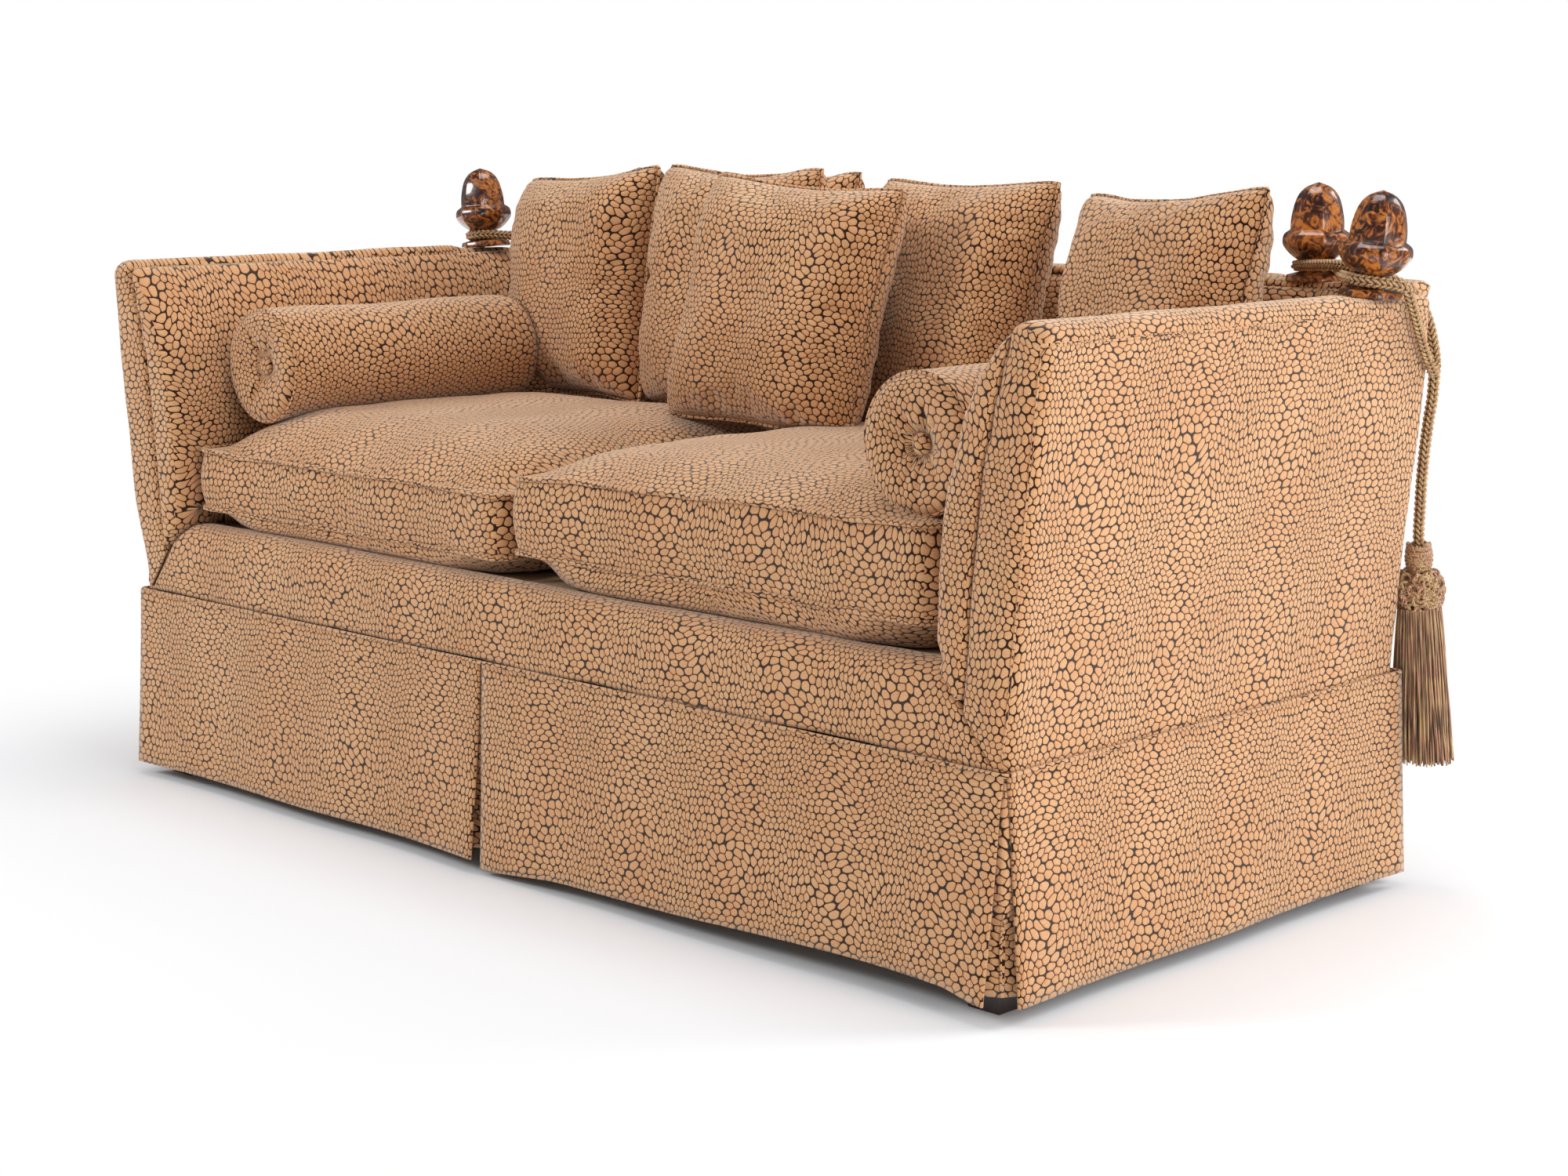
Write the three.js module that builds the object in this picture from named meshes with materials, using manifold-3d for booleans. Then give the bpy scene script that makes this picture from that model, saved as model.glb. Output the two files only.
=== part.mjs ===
// Knole sofa: a two-seat sofa with drop arms tied to the back by ropes round turned finials.
// Millimetres, +Z up, the front at -Y. The origin is on the floor under the middle of the box.
import * as THREE from 'three';
import { mergeVertices } from 'three/addons/utils/BufferGeometryUtils.js';
import Module from 'manifold-3d';

const wasm = await Module();
wasm.setup();

// Overall sizes
const skirtHalfWidth = 892;
const skirtHalfDepth = 412.5;
const skirtTop = 296;
const skirtHem = 18;
const skirtFlare = 14;
const armTop = 811;
const armSetIn = 9;
const armSplay = 51;
const armEndSetIn = 4.5;
const backTop = 816;
const backProud = 2;
const backRake = 115;

// Fits and clearances
const fitGap = 0.35;
const softGap = 0.4;
const swingGap = 1.6;
const overrun = 20;

// Seat rails and feet
const railThick = 28;
const sideRailThick = 41;
const railHeight = 140;
const railDrop = 6;
const railInset = 8;
const footSide = 60;
const footInset = 16;
const footTaper = 6;

// Webbing net over the rails
const webThick = 2.4;
const webStrip = 50;
const webColumns = 9;
const webRows = 5;
const webEdgeInset = 50;

// Sprung deck and the padded front border
const deckTall = 107;
const deckFootInset = 15;
const deckShoulderInset = 96;
const deckFootRise = 7;
const borderDepth = 63;
const borderProud = 6;
const borderInset = 1;
const borderEndRise = 6;
const borderNoseRadius = 34;
const borderNoseDrop = 40;

// Drop hinge under each arm
const pinInset = 7;
const pinRadius = 3;
const knuckleRadius = 5.5;
const knuckleBore = 3.3;
const knuckleCount = 5;
const hingeHalfLength = 300;
const leafThick = 2.5;
const leafWidth = 36;
const leafTall = 56;
const leafClear = 0.2;

// Arm
const armThick = 128.5;
const coverTopWall = 12.8;
const coverEndWall = 12;
const armCoverFoot = 9;
const armEdgeRadius = 12;
const armEndRadius = 9;
const framePadInset = 7;
const padEndInset = 4;

// Back
const backThickTop = 79;
const backThickFoot = 108;
const backCoverWall = 8;
const backTopWall = 10;
const backFrameThick = 50;
const backEdgeRadius = 5;
const backFootInset = 114;
const backTopInset = 33;
const backPadCrown = 12;

// Skirt and pleat inserts
const clothThick = 3.4;
const hemSway = 5;
const cornerSplay = 28;
const centrePleatX = -45;
const pleatGap = 5;
const pleatSplay = 8;
const insertReach = 80;
const insertRise = 8;
const insertThick = 3;

// Seat cushions
const cushionGapX = -37;
const leftEndGap = 19.65;
const rightEndGap = 38;
const cushionSetBack = 24;
const cushionRearGap = 9.66;
const cushionCorner = 34;
const cushionDrawIn = 9;
const cushionJoin = 6;
const leftBelly = 22;
const leftBox = 92;
const leftCrown = 68;
const rightBelly = 40;
const rightBox = 110;
const rightCrown = 36;

// Bolsters
const bolsterRadius = 87;
const bolsterLength = 560;
const bolsterLift = 252;
const bolsterClear = 6;
const bolsterDimple = 16;
const buttonRadius = 19;
const buttonThick = 14;
const leftBolsterSetBack = 96;
const rightBolsterSetBack = 54;

// Scatter pillows
const pillowSide = 405;
const pillowThick = 128;
const pillowDrawIn = 15;
const pillowWelt = 7;
const pillowCorner = 21;

// Finials
const finialHeight = 135.5;
const finialRadius = 48;
const finialSink = 5.5;
const finialBase = 0.4;
const armFinialIn = 32;
const armFinialForward = 115;
const leftFinialBack = 22;
const backFinialIn = 160;
const backFinialForward = 40;

// Tie rope and tassel
const ropeDiameter = 12.5;
const ropeSides = 8;
const stepsPerNode = 2;
const ropeRearY = 400;
const ropeFrontY = 335;
const ropeInnerX = 760;
const ropeOuterX = 860;
const knobRadius = 18;
const knobTall = 34;
const headRadius = 33;
const headTall = 54;
const fringeTall = 212;
const fringeTopRadius = 31;
const fringeHemRadius = 45;
const fringeHemDepth = 33;
const fringeFlutes = 9;
const fluteDepth = 2.2;

// Worked out from the sizes above
const armOuterFoot = skirtHalfWidth - armSetIn;
const armLean = Math.atan(armSplay / (armTop - skirtTop));
const armHalfDepth = skirtHalfDepth - armEndSetIn;
const armFinialY = armHalfDepth - armFinialForward;
const backRearFoot = armHalfDepth + backProud;
const backRearTop = backRearFoot + backRake;
const backHalfFoot = armOuterFoot - backFootInset;
const backHalfTop = armOuterFoot - backTopInset;
const backFinialX = backHalfTop - backFinialIn;
const backFinialY = backRearTop - backFinialForward;
const overallFront = skirtHalfDepth + skirtFlare;
const overallRear = backFinialY + finialRadius;
const seatShift = (overallFront - overallRear) / 2;
const railTop = skirtTop - railDrop;
const railOuterX = skirtHalfWidth - railInset;
const railOuterY = skirtHalfDepth - railInset;
const footHeight = railTop - railHeight - fitGap;
const webTop = railTop + fitGap + webThick;
const deckFloor = webTop + fitGap;
const deckTop = skirtTop + deckTall;
const deckFoot = armOuterFoot - deckFootInset;
const deckShoulder = armOuterFoot - deckShoulderInset;
const borderTop = deckTop + borderProud;
const borderOuter = armOuterFoot - borderInset;
const pinX = armOuterFoot - pinInset;
const pinHeight = railTop + fitGap + knuckleRadius;
const cushionFront = armHalfDepth - cushionSetBack;
const cushionDepth = cushionFront + backPadFace(deckTop) - cushionRearGap;
const bolsterHeight = deckTop + bolsterLift;
const bolsterX = deckShoulder - bolsterRadius - bolsterClear;
const leftBolsterFront = armHalfDepth - leftBolsterSetBack;
const rightBolsterFront = armHalfDepth - rightBolsterSetBack;

function paint(colour, roughness, metalness = 0) {
  return new THREE.MeshStandardMaterial({ color: colour, roughness, metalness });
}

const fabric = paint(0xc79a6b, 0.95);
const lining = paint(0xb58a5f, 0.95);
const wood = paint(0x9c7a52, 0.7);
const darkWood = paint(0x2c1710, 0.35);
const lacquer = paint(0x5a2c12, 0.15);
const steel = paint(0x8d8f92, 0.4, 1);
const jute = paint(0xa58c66, 0.95);
const gold = paint(0xa9824f, 0.7);

const sofa = new THREE.Group();
sofa.position.y = seatShift;
const rightArm = armGroup(1);
const leftArm = armGroup(-1);
sofa.add(rightArm, leftArm);

function armGroup(side) {
  const group = new THREE.Group();
  group.position.set(side * pinX, 0, pinHeight);
  group.rotation.y = side * armLean;
  return group;
}

function add(name, geometry, material, parent = sofa) {
  const mesh = new THREE.Mesh(geometry, material);
  mesh.name = name;
  parent.add(mesh);
  return mesh;
}

// One closed mesh: shared vertices merged and flat triangles dropped
function closed(geometry) {
  const bare = geometry.clone();
  bare.deleteAttribute('normal');
  bare.deleteAttribute('uv');
  const merged = mergeVertices(bare);
  const source = merged.index.array;
  const kept = [];
  for (let i = 0; i < source.length; i += 3) {
    const [a, b, c] = [source[i], source[i + 1], source[i + 2]];
    if (a !== b && b !== c && c !== a) kept.push(a, b, c);
  }
  merged.setIndex(kept);
  merged.computeVertexNormals();
  return merged;
}

function mirrored(geometry) {
  const copy = closed(geometry);
  copy.scale(-1, 1, 1);
  const order = copy.index.array;
  for (let i = 0; i < order.length; i += 3) {
    const second = order[i + 1];
    order[i + 1] = order[i + 2];
    order[i + 2] = second;
  }
  copy.computeVertexNormals();
  return copy;
}

function solid(geometry) {
  const mesh = closed(geometry);
  return new wasm.Manifold(new wasm.Mesh({
    numProp: 3,
    vertProperties: new Float32Array(mesh.attributes.position.array),
    triVerts: new Uint32Array(mesh.index.array),
  }));
}

function shell(manifold) {
  const parts = manifold.decompose();
  parts.sort((a, b) => b.volume() - a.volume());
  const mesh = parts[0].getMesh();
  const geometry = new THREE.BufferGeometry();
  geometry.setAttribute('position', new THREE.BufferAttribute(mesh.vertProperties, 3));
  geometry.setIndex(new THREE.BufferAttribute(mesh.triVerts, 1));
  return closed(geometry);
}

function cut(geometry, ...tools) {
  let left = solid(geometry);
  for (const tool of tools) left = left.subtract(solid(tool));
  return shell(left);
}

function joined(...pieces) {
  let whole = solid(pieces[0]);
  for (const piece of pieces.slice(1)) whole = whole.add(solid(piece));
  return shell(whole);
}

function block(x0, x1, y0, y1, z0, z1) {
  const box = new THREE.BoxGeometry(x1 - x0, y1 - y0, z1 - z0);
  return box.translate((x0 + x1) / 2, (y0 + y1) / 2, (z0 + z1) / 2);
}

// A prism of an X-Z outline, from y0 to y1
function alongY(points, y0, y1) {
  const shape = new THREE.Shape(points.map(([x, z]) => new THREE.Vector2(x, z)));
  const prism = new THREE.ExtrudeGeometry(shape, { depth: y1 - y0, bevelEnabled: false });
  return prism.rotateX(Math.PI / 2).translate(0, y1, 0);
}

// A prism of a Y-Z outline, from x0 to x1
function alongX(points, x0, x1) {
  const shape = new THREE.Shape(points.map(([y, z]) => new THREE.Vector2(y, z)));
  const prism = new THREE.ExtrudeGeometry(shape, { depth: x1 - x0, bevelEnabled: false });
  return prism.rotateX(Math.PI / 2).rotateZ(Math.PI / 2).translate(x0, 0, 0);
}

// A closed skin over a stack of rings; each ring is a list of points, the ends close on poles
function skin(rings, startPole, endPole) {
  const count = rings[0].length;
  const positions = [];
  rings.forEach((ring) => ring.forEach((p) => positions.push(...p)));
  const start = positions.length / 3;
  positions.push(...startPole, ...endPole);
  const faces = [];
  for (let r = 0; r + 1 < rings.length; r += 1) {
    for (let i = 0; i < count; i += 1) {
      const j = (i + 1) % count;
      const [a, b] = [r * count + i, r * count + j];
      faces.push(a, b, b + count, a, b + count, a + count);
    }
  }
  const last = (rings.length - 1) * count;
  for (let i = 0; i < count; i += 1) {
    const j = (i + 1) % count;
    faces.push(start, j, i, start + 1, last + i, last + j);
  }
  const geometry = new THREE.BufferGeometry();
  geometry.setAttribute('position', new THREE.Float32BufferAttribute(positions, 3));
  geometry.setIndex(faces);
  return geometry;
}

// Seat rails, feet and webbing
function buildSeatFrame() {
  const low = railTop - railHeight;
  const sideEnd = railOuterY - railThick - fitGap;
  const rail = (y0, y1) => closed(block(-railOuterX, railOuterX, y0, y1, low, railTop));
  add('rail_front', rail(-railOuterY, railThick - railOuterY), wood);
  add('rail_back', rail(railOuterY - railThick, railOuterY), wood);
  const side = closed(block(railOuterX - sideRailThick, railOuterX, -sideEnd, sideEnd, low, railTop));
  add('rail_side_right', side, wood);
  add('rail_side_left', mirrored(side), wood);

  const half = footSide / 2;
  const footX = railOuterX - footInset - half;
  const footY = railOuterY - footInset - half;
  for (const [end, y] of [['front', -footY], ['back', footY]]) {
    for (const [hand, x] of [['left', -footX], ['right', footX]]) {
      const [topRadius, lowRadius] = [half * Math.SQRT2, (half - footTaper) * Math.SQRT2];
      const foot = new THREE.CylinderGeometry(topRadius, lowRadius, footHeight, 4, 1);
      foot.rotateY(Math.PI / 4).rotateX(Math.PI / 2);
      const mesh = add(`foot_${end}_${hand}`, closed(foot), darkWood);
      mesh.position.set(x, y, footHeight / 2);
    }
  }

  const halfX = railOuterX - webEdgeInset;
  const halfY = railOuterY - fitGap;
  const net = block(-halfX, halfX, -halfY, halfY, railTop + fitGap, webTop);
  const pitchX = (2 * halfX - webStrip) / (webColumns - 1);
  const pitchY = (2 * halfY - webStrip) / (webRows - 1);
  const gaps = [];
  for (let i = 0; i + 1 < webColumns; i += 1) {
    for (let j = 0; j + 1 < webRows; j += 1) {
      const [x0, y0] = [-halfX + i * pitchX + webStrip, -halfY + j * pitchY + webStrip];
      const [x1, y1] = [x0 + pitchX - webStrip, y0 + pitchY - webStrip];
      gaps.push(block(x0, x1, y0, y1, railTop - overrun, railTop + overrun));
    }
  }
  add('seat_webbing', cut(net, ...gaps), jute);
}

// Sprung deck behind, padded border in front; both slope in at the ends to let the arms close on them
function buildSeatPlatform() {
  const deckFront = borderDepth - armHalfDepth + fitGap;
  const deckRear = backFrameFace(deckFloor) - softGap;
  const sides = [[deckFoot, deckFloor], [deckFoot, deckFloor + deckFootRise], [deckShoulder, deckTop]];
  const outline = [...sides, ...sides.map(([x, z]) => [-x, z]).reverse()];
  add('seat_deck', closed(alongY(outline, deckFront, deckRear)), lining);

  const front = -armHalfDepth;
  const rear = borderDepth - armHalfDepth;
  const nose = [[front, skirtTop + fitGap], [front, borderTop - borderNoseDrop]];
  const noseSteps = 5;
  for (let i = 1; i <= noseSteps; i += 1) {
    const turn = (i / noseSteps) * (Math.PI / 2);
    nose.push([
      front + borderNoseRadius * (1 - Math.cos(turn)),
      borderTop - borderNoseDrop * (1 - Math.sin(turn)),
    ]);
  }
  nose.push([rear, borderTop], [rear, skirtTop + fitGap]);
  const slope = (deckShoulder - deckFoot) / (deckTop - deckFloor - deckFootRise);
  const endTop = deckShoulder + slope * (borderTop - deckTop);
  const endLow = skirtTop - overrun;
  const ends = [
    [borderOuter, endLow],
    [borderOuter, skirtTop + borderEndRise],
    [deckFoot, deckFloor + deckFootRise],
    [endTop + slope * overrun, borderTop + overrun],
  ];
  const outlineEnds = [...ends, ...ends.map(([x, z]) => [-x, z]).reverse()];
  const envelope = alongY(outlineEnds, front - overrun, rear + overrun);
  const border = alongX(nose, -borderOuter - overrun, borderOuter + overrun);
  add('seat_front_border', shell(solid(border).intersect(solid(envelope))), fabric);
}

// Drop hinge: leaf on the side rail, leaf on the arm frame, and the pin through their knuckles
function buildHinge(side, arm, hand) {
  const pitch = (2 * hingeHalfLength) / knuckleCount;
  const tubeEnd = fitGap;
  const tube = (y0, y1, radius) => {
    const cylinder = new THREE.CylinderGeometry(radius, radius, y1 - y0, 12, 1);
    return cylinder.translate(0, (y0 + y1) / 2, 0);
  };
  const segments = Array.from({ length: knuckleCount }, (_, i) => {
    const y0 = -hingeHalfLength + i * pitch;
    return { y0: y0 + tubeEnd, y1: y0 + pitch - tubeEnd, onRail: i % 2 === 0 };
  });
  const bore = tube(-hingeHalfLength - overrun, hingeHalfLength + overrun, knuckleBore);
  const plateLow = -knuckleRadius;
  const plateTop = plateLow + leafThick;
  const clearOfKnuckle = knuckleRadius + leafThick / 2;

  const [end, halfLeaf] = [hingeHalfLength, leafThick / 2];
  const railPieces = [block(-leafWidth, -clearOfKnuckle, -end, end, plateLow, plateTop)];
  const armPieces = [block(-halfLeaf, halfLeaf, -end, end, clearOfKnuckle, leafTall)];
  for (const { y0, y1, onRail } of segments) {
    if (onRail) {
      railPieces.push(tube(y0, y1, knuckleRadius));
      railPieces.push(block(-clearOfKnuckle - leafThick, 0, y0, y1, plateLow, plateTop));
    } else {
      armPieces.push(tube(y0, y1, knuckleRadius));
      armPieces.push(block(-halfLeaf, halfLeaf, y0, y1, knuckleBore, clearOfKnuckle + leafThick));
    }
  }
  const railLeaf = shell(solid(joined(...railPieces)).subtract(solid(bore)));
  const armLeaf = shell(solid(joined(...armPieces)).subtract(solid(bore)));
  const onSide = (geometry) => (side > 0 ? geometry : mirrored(geometry));
  const fixed = add(`hinge_rail_leaf_${hand}`, onSide(railLeaf), steel);
  fixed.position.set(side * pinX, 0, pinHeight);
  add(`hinge_arm_leaf_${hand}`, onSide(armLeaf), steel, arm);
  add(`hinge_pin_${hand}`, closed(tube(-hingeHalfLength, hingeHalfLength, pinRadius)), steel, arm);
}

// The arm's end outline, measured in from its outer face and up from the hinge pin
const armOuter = (armOuterFoot - pinX) * Math.cos(armLean) - (skirtTop - pinHeight) * Math.sin(armLean);
const armReach = armOuterFoot + armSplay - pinX;
const armTall = armReach * Math.sin(armLean) + (armTop - pinHeight) * Math.cos(armLean);
const padFaceShares = [[0.36, 0.984], [0.511, 0.9465], [0.701, 0.8737], [0.85, 0.775], [0.922, 0.683],
  [0.98, 0.61], [1, 0.53], [0.99, 0.409], [0.9386, 0.2546], [0.8475, 0.213]];
const borderSeamShares = [[0.36, 0.984], [0.46, 0.84], [0.5627, 0.645], [0.565, 0.386], [0.529, 0.2668]];
const ofArm = ([inShare, upShare]) => [armOuter - inShare * armThick, upShare * armTall];

// The line of the arm's foot, a swing gap above the end of the deck
function armFootLine() {
  const toArm = (x, z) => {
    const [dx, dz] = [x - pinX, z - pinHeight];
    return [dx * Math.cos(armLean) - dz * Math.sin(armLean), dx * Math.sin(armLean) + dz * Math.cos(armLean)];
  };
  const [u0, w0] = toArm(deckFoot, deckFloor + deckFootRise);
  const [u1, w1] = toArm(deckShoulder, deckTop);
  const slope = (w1 - w0) / (u1 - u0);
  const lift = swingGap * Math.hypot(1, slope);
  return {
    upAt: (u) => w0 + lift + slope * (u - u0),
    acrossAt: (w) => u0 + (w - w0 - lift) / slope,
  };
}

// The arm seen from the side: square at the foot, its top corners rounded at both ends
function armSideOutline() {
  const outline = [[armHalfDepth, -overrun]];
  const steps = 3;
  for (let i = 0; i <= steps; i += 1) {
    const turn = (i / steps) * (Math.PI / 2);
    outline.push([
      armHalfDepth - armEndRadius * (1 - Math.cos(turn)),
      armTall - armEndRadius * (1 - Math.sin(turn)),
    ]);
  }
  return [...outline, ...outline.map(([y, z]) => [-y, z]).reverse()];
}

function buildArm(side, arm, hand) {
  const { upAt: footAt, acrossAt } = armFootLine();
  const footStart = acrossAt(armCoverFoot);
  const seam = borderSeamShares.map(ofArm);
  const face = padFaceShares.map(ofArm);
  const [seamLowU] = seam[seam.length - 1];
  const [faceLowU] = face[face.length - 1];

  const top = [];
  const edgeSteps = 4;
  for (let i = 0; i <= edgeSteps; i += 1) {
    const turn = (i / edgeSteps) * (Math.PI / 2);
    top.push([
      armOuter - armEdgeRadius * (1 - Math.cos(turn)),
      armTall - armEdgeRadius * (1 - Math.sin(turn)),
    ]);
  }
  const topInner = [seam[0][0] + armEdgeRadius / 2, armTall];
  const coverFoot = [[seamLowU, footAt(seamLowU)], [footStart, armCoverFoot]];
  const cover = [[armOuter, armCoverFoot], ...top, topInner, ...seam, ...coverFoot];

  const frameOuter = -leafThick / 2 - fitGap;
  const frameTop = armTall - coverTopWall;
  const frameEnd = armHalfDepth - coverEndWall;
  const framePoints = [
    [frameOuter, armCoverFoot + leafThick],
    [frameOuter, frameTop],
    [seam[0][0] + framePadInset / 2, frameTop],
    ...seam.slice(1).map(([u, w]) => [u + framePadInset, w]),
  ];
  const lowU = seamLowU + framePadInset;
  framePoints.push([lowU, footAt(lowU) + leafThick], [footStart - leafThick, armCoverFoot + leafThick]);
  const cavityOuter = leafThick / 2 + leafClear;
  const cavityTop = frameTop + fitGap;
  const beyond = -2 * armThick;
  const cavity = [[cavityOuter, -overrun], [cavityOuter, cavityTop], [beyond, cavityTop], [beyond, -overrun]];
  const cavityEnd = frameEnd + fitGap;

  const finialU = armOuter - armFinialIn;
  const finialY = armFinialY + (side > 0 ? 0 : leftFinialBack);
  const pocket = finialPocket().translate(finialU, finialY, armTall);
  const whole = solid(alongY(cover, -armHalfDepth, armHalfDepth));
  const rounded = shell(whole.intersect(solid(alongX(armSideOutline(), -2 * armThick, armThick))));
  const coverSolid = cut(rounded, alongY(cavity, -cavityEnd, cavityEnd), pocket);
  const frameSolid = closed(alongY(framePoints, -frameEnd, frameEnd));
  const padEdge = seam.map(([u, w]) => [u - softGap, w]);
  const padFoot = [faceLowU, seamLowU - softGap].map((u) => [u, footAt(u) + softGap]);
  const pad = [...face, ...padFoot, ...padEdge.slice(1).reverse()];
  const padEnd = armHalfDepth - padEndInset;
  const padSolid = closed(alongY(pad.reverse(), -padEnd, padEnd));

  const onSide = (geometry) => (side > 0 ? geometry : mirrored(geometry));
  add(`arm_frame_${hand}`, onSide(frameSolid), wood, arm);
  add(`arm_outside_cover_${hand}`, onSide(coverSolid), fabric, arm);
  const insidePad = add(`arm_inside_pad_${hand}`, onSide(padSolid), fabric, arm);
  const finial = add(`arm_finial_${hand}`, finialForm(), lacquer, arm);
  finial.position.set(side * finialU, finialY, armTall - finialSink + finialBase);
  arm.updateMatrix();
  return insidePad.geometry.clone().applyMatrix4(arm.matrix).translate(-side * softGap, 0, 0);
}

// Where the back's faces lie at a height
function backRearFace(z) {
  return backRearFoot + (backRake * (z - skirtTop)) / (backTop - skirtTop);
}

function backFrameFace(z) {
  return backRearFace(z) - backCoverWall - fitGap - backFrameThick;
}

function backPadFace(z) {
  const share = (z - deckTop) / (backTop - deckTop);
  return backRearFace(z) - backThickFoot + (backThickFoot - backThickTop) * share;
}

const backEndShares = [[0, 0], [0.02, 0.28], [0.1, 0.45], [0.28, 0.58], [0.72, 0.86], [0.95, 0.93], [1, 1]];

function buildBack() {
  const foot = skirtTop + fitGap;
  const low = deckTop + softGap;
  const under = backTop - backTopWall;
  const r = backEdgeRadius;
  const frontTop = backPadFace(backTop);
  const cover = [
    [backRearFace(foot), foot],
    [backRearFace(backTop - r), backTop - r],
    [backRearFace(backTop) - r, backTop],
    [frontTop + r, backTop],
    [frontTop, backTop - r],
    [frontTop, under],
    [backRearFace(under) - backCoverWall, under],
    [backRearFace(foot) - backCoverWall, foot],
  ];
  const frameTop = under - fitGap;
  const frameRear = (z) => backRearFace(z) - backCoverWall - fitGap;
  const frame = [
    [backFrameFace(deckFloor), deckFloor],
    [frameRear(deckFloor), deckFloor],
    [frameRear(frameTop), frameTop],
    [backFrameFace(frameTop), frameTop],
  ];
  const pad = [
    [backPadFace(low), low],
    [backFrameFace(low) - softGap, low],
    [backFrameFace(frameTop) - softGap, frameTop],
    [backPadFace(frameTop), frameTop],
  ];
  const crownSteps = 4;
  for (let i = 1; i < crownSteps; i += 1) {
    const share = 1 - i / crownSteps;
    const z = low + share * (frameTop - low);
    pad.push([backPadFace(z) - backPadCrown * Math.sin(Math.PI * share), z]);
  }
  const tall = backTop - deckTop;
  const widening = backHalfTop - backHalfFoot;
  const ends = backEndShares.map(([out, up]) => [backHalfFoot + out * widening, deckTop + up * tall]);
  const reach = backHalfTop + overrun;
  const build = (points, inset) => {
    const right = [
      [backHalfFoot - inset, skirtTop - overrun],
      ...ends.map(([x, z]) => [x - inset, z]),
      [backHalfTop - inset, backTop + overrun],
    ];
    const left = right.map(([x, z]) => [-x, z]).reverse();
    const envelope = alongY([...right, ...left], 0, 2 * armHalfDepth);
    return shell(solid(alongX(points, -reach, reach)).intersect(solid(envelope)));
  };
  add('back_frame', build(frame, backCoverWall), wood);
  const insidePad = build(pad, 0);
  add('back_inside_pad', insidePad, fabric);
  const pockets = [-backFinialX, backFinialX].map((x) => finialPocket().translate(x, backFinialY, backTop));
  add('back_outside_cover', cut(build(cover, 0), ...pockets), fabric);
  for (const [hand, side] of [['left', -1], ['right', 1]]) {
    const finial = add(`back_finial_${hand}`, finialForm(), lacquer);
    finial.position.set(side * backFinialX, backFinialY, backTop - finialSink + finialBase);
  }
  return insidePad.clone().translate(0, -softGap, 0);
}

// Turned finial with eight flats: plinth, neck, cup and acorn
const finialShares = [
  [0, 0], [0.87, 0], [0.88, 0.02], [0.85, 0.066], [0.62, 0.085], [0.4, 0.1], [0.38, 0.19], [0.5, 0.212],
  [0.62, 0.232], [0.81, 0.288], [0.97, 0.36], [1, 0.417], [0.96, 0.475], [0.84, 0.51], [0.78, 0.522],
  [0.78, 0.545], [0.72, 0.727], [0.565, 0.877], [0.38, 0.94], [0, 1],
];

// The pocket that a finial presses into the padding under it
function finialPocket() {
  const radius = finialRadius + softGap;
  const pocket = new THREE.CylinderGeometry(radius, radius, finialSink + overrun, 8, 1);
  return pocket.rotateX(Math.PI / 2).translate(0, 0, (overrun - finialSink) / 2);
}

function finialForm() {
  const profile = finialShares.map(([out, up]) => new THREE.Vector2(out * finialRadius, up * finialHeight));
  return closed(new THREE.LatheGeometry(profile, 8).rotateX(Math.PI / 2));
}

// Cloth hanging from a line of points, each with its outward direction, spreading towards the hem
function hangingCloth(stations, thick, top, hem, rows) {
  const loopAt = (t) => {
    const outer = [];
    const inner = [];
    const z = top + (hem - top) * t;
    for (const { head, foot, out } of stations) {
      const x = head[0] + (foot[0] - head[0]) * t;
      const y = head[1] + (foot[1] - head[1]) * t;
      outer.push([x, y, z]);
      inner.push([x - out[0] * thick, y - out[1] * thick, z]);
    }
    return [...outer, ...inner.reverse()];
  };
  const loops = Array.from({ length: rows + 1 }, (_, i) => loopAt(i / rows));
  const count = loops[0].length;
  const positions = loops.flat(2);
  const faces = [];
  for (let r = 0; r < rows; r += 1) {
    for (let i = 0; i < count; i += 1) {
      const j = (i + 1) % count;
      const [a, b] = [r * count + i, r * count + j];
      faces.push(a, b + count, b, a, a + count, b + count);
    }
  }
  const half = count / 2;
  const last = rows * count;
  for (let i = 0; i + 1 < half; i += 1) {
    const [a, b, c, d] = [i, i + 1, count - 2 - i, count - 1 - i];
    faces.push(a, b, c, a, c, d);
    faces.push(last + a, last + c, last + b, last + a, last + d, last + c);
  }
  const geometry = new THREE.BufferGeometry();
  geometry.setAttribute('position', new THREE.Float32BufferAttribute(positions, 3));
  geometry.setIndex(faces);
  return geometry;
}

// One skirt panel between two corners; out points away from the sofa
function skirtPanel(from, to, out, headDrawIn, footDrawIn, folds) {
  const columns = 14;
  const along = [to[0] - from[0], to[1] - from[1]];
  const span = Math.hypot(...along);
  const dir = [along[0] / span, along[1] / span];
  const stations = [];
  for (let i = 0; i <= columns; i += 1) {
    const s = i / columns;
    const headAt = headDrawIn[0] + s * (span - headDrawIn[0] - headDrawIn[1]);
    const footAt = footDrawIn[0] + s * (span - footDrawIn[0] - footDrawIn[1]);
    const sway = (hemSway / 2) * (Math.cos(2 * Math.PI * folds * s) - 1);
    const spread = skirtFlare + sway;
    stations.push({
      head: [from[0] + dir[0] * headAt, from[1] + dir[1] * headAt],
      foot: [from[0] + dir[0] * footAt + out[0] * spread, from[1] + dir[1] * footAt + out[1] * spread],
      out,
    });
  }
  return closed(hangingCloth(stations, clothThick, skirtTop, skirtHem, 3));
}

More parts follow.
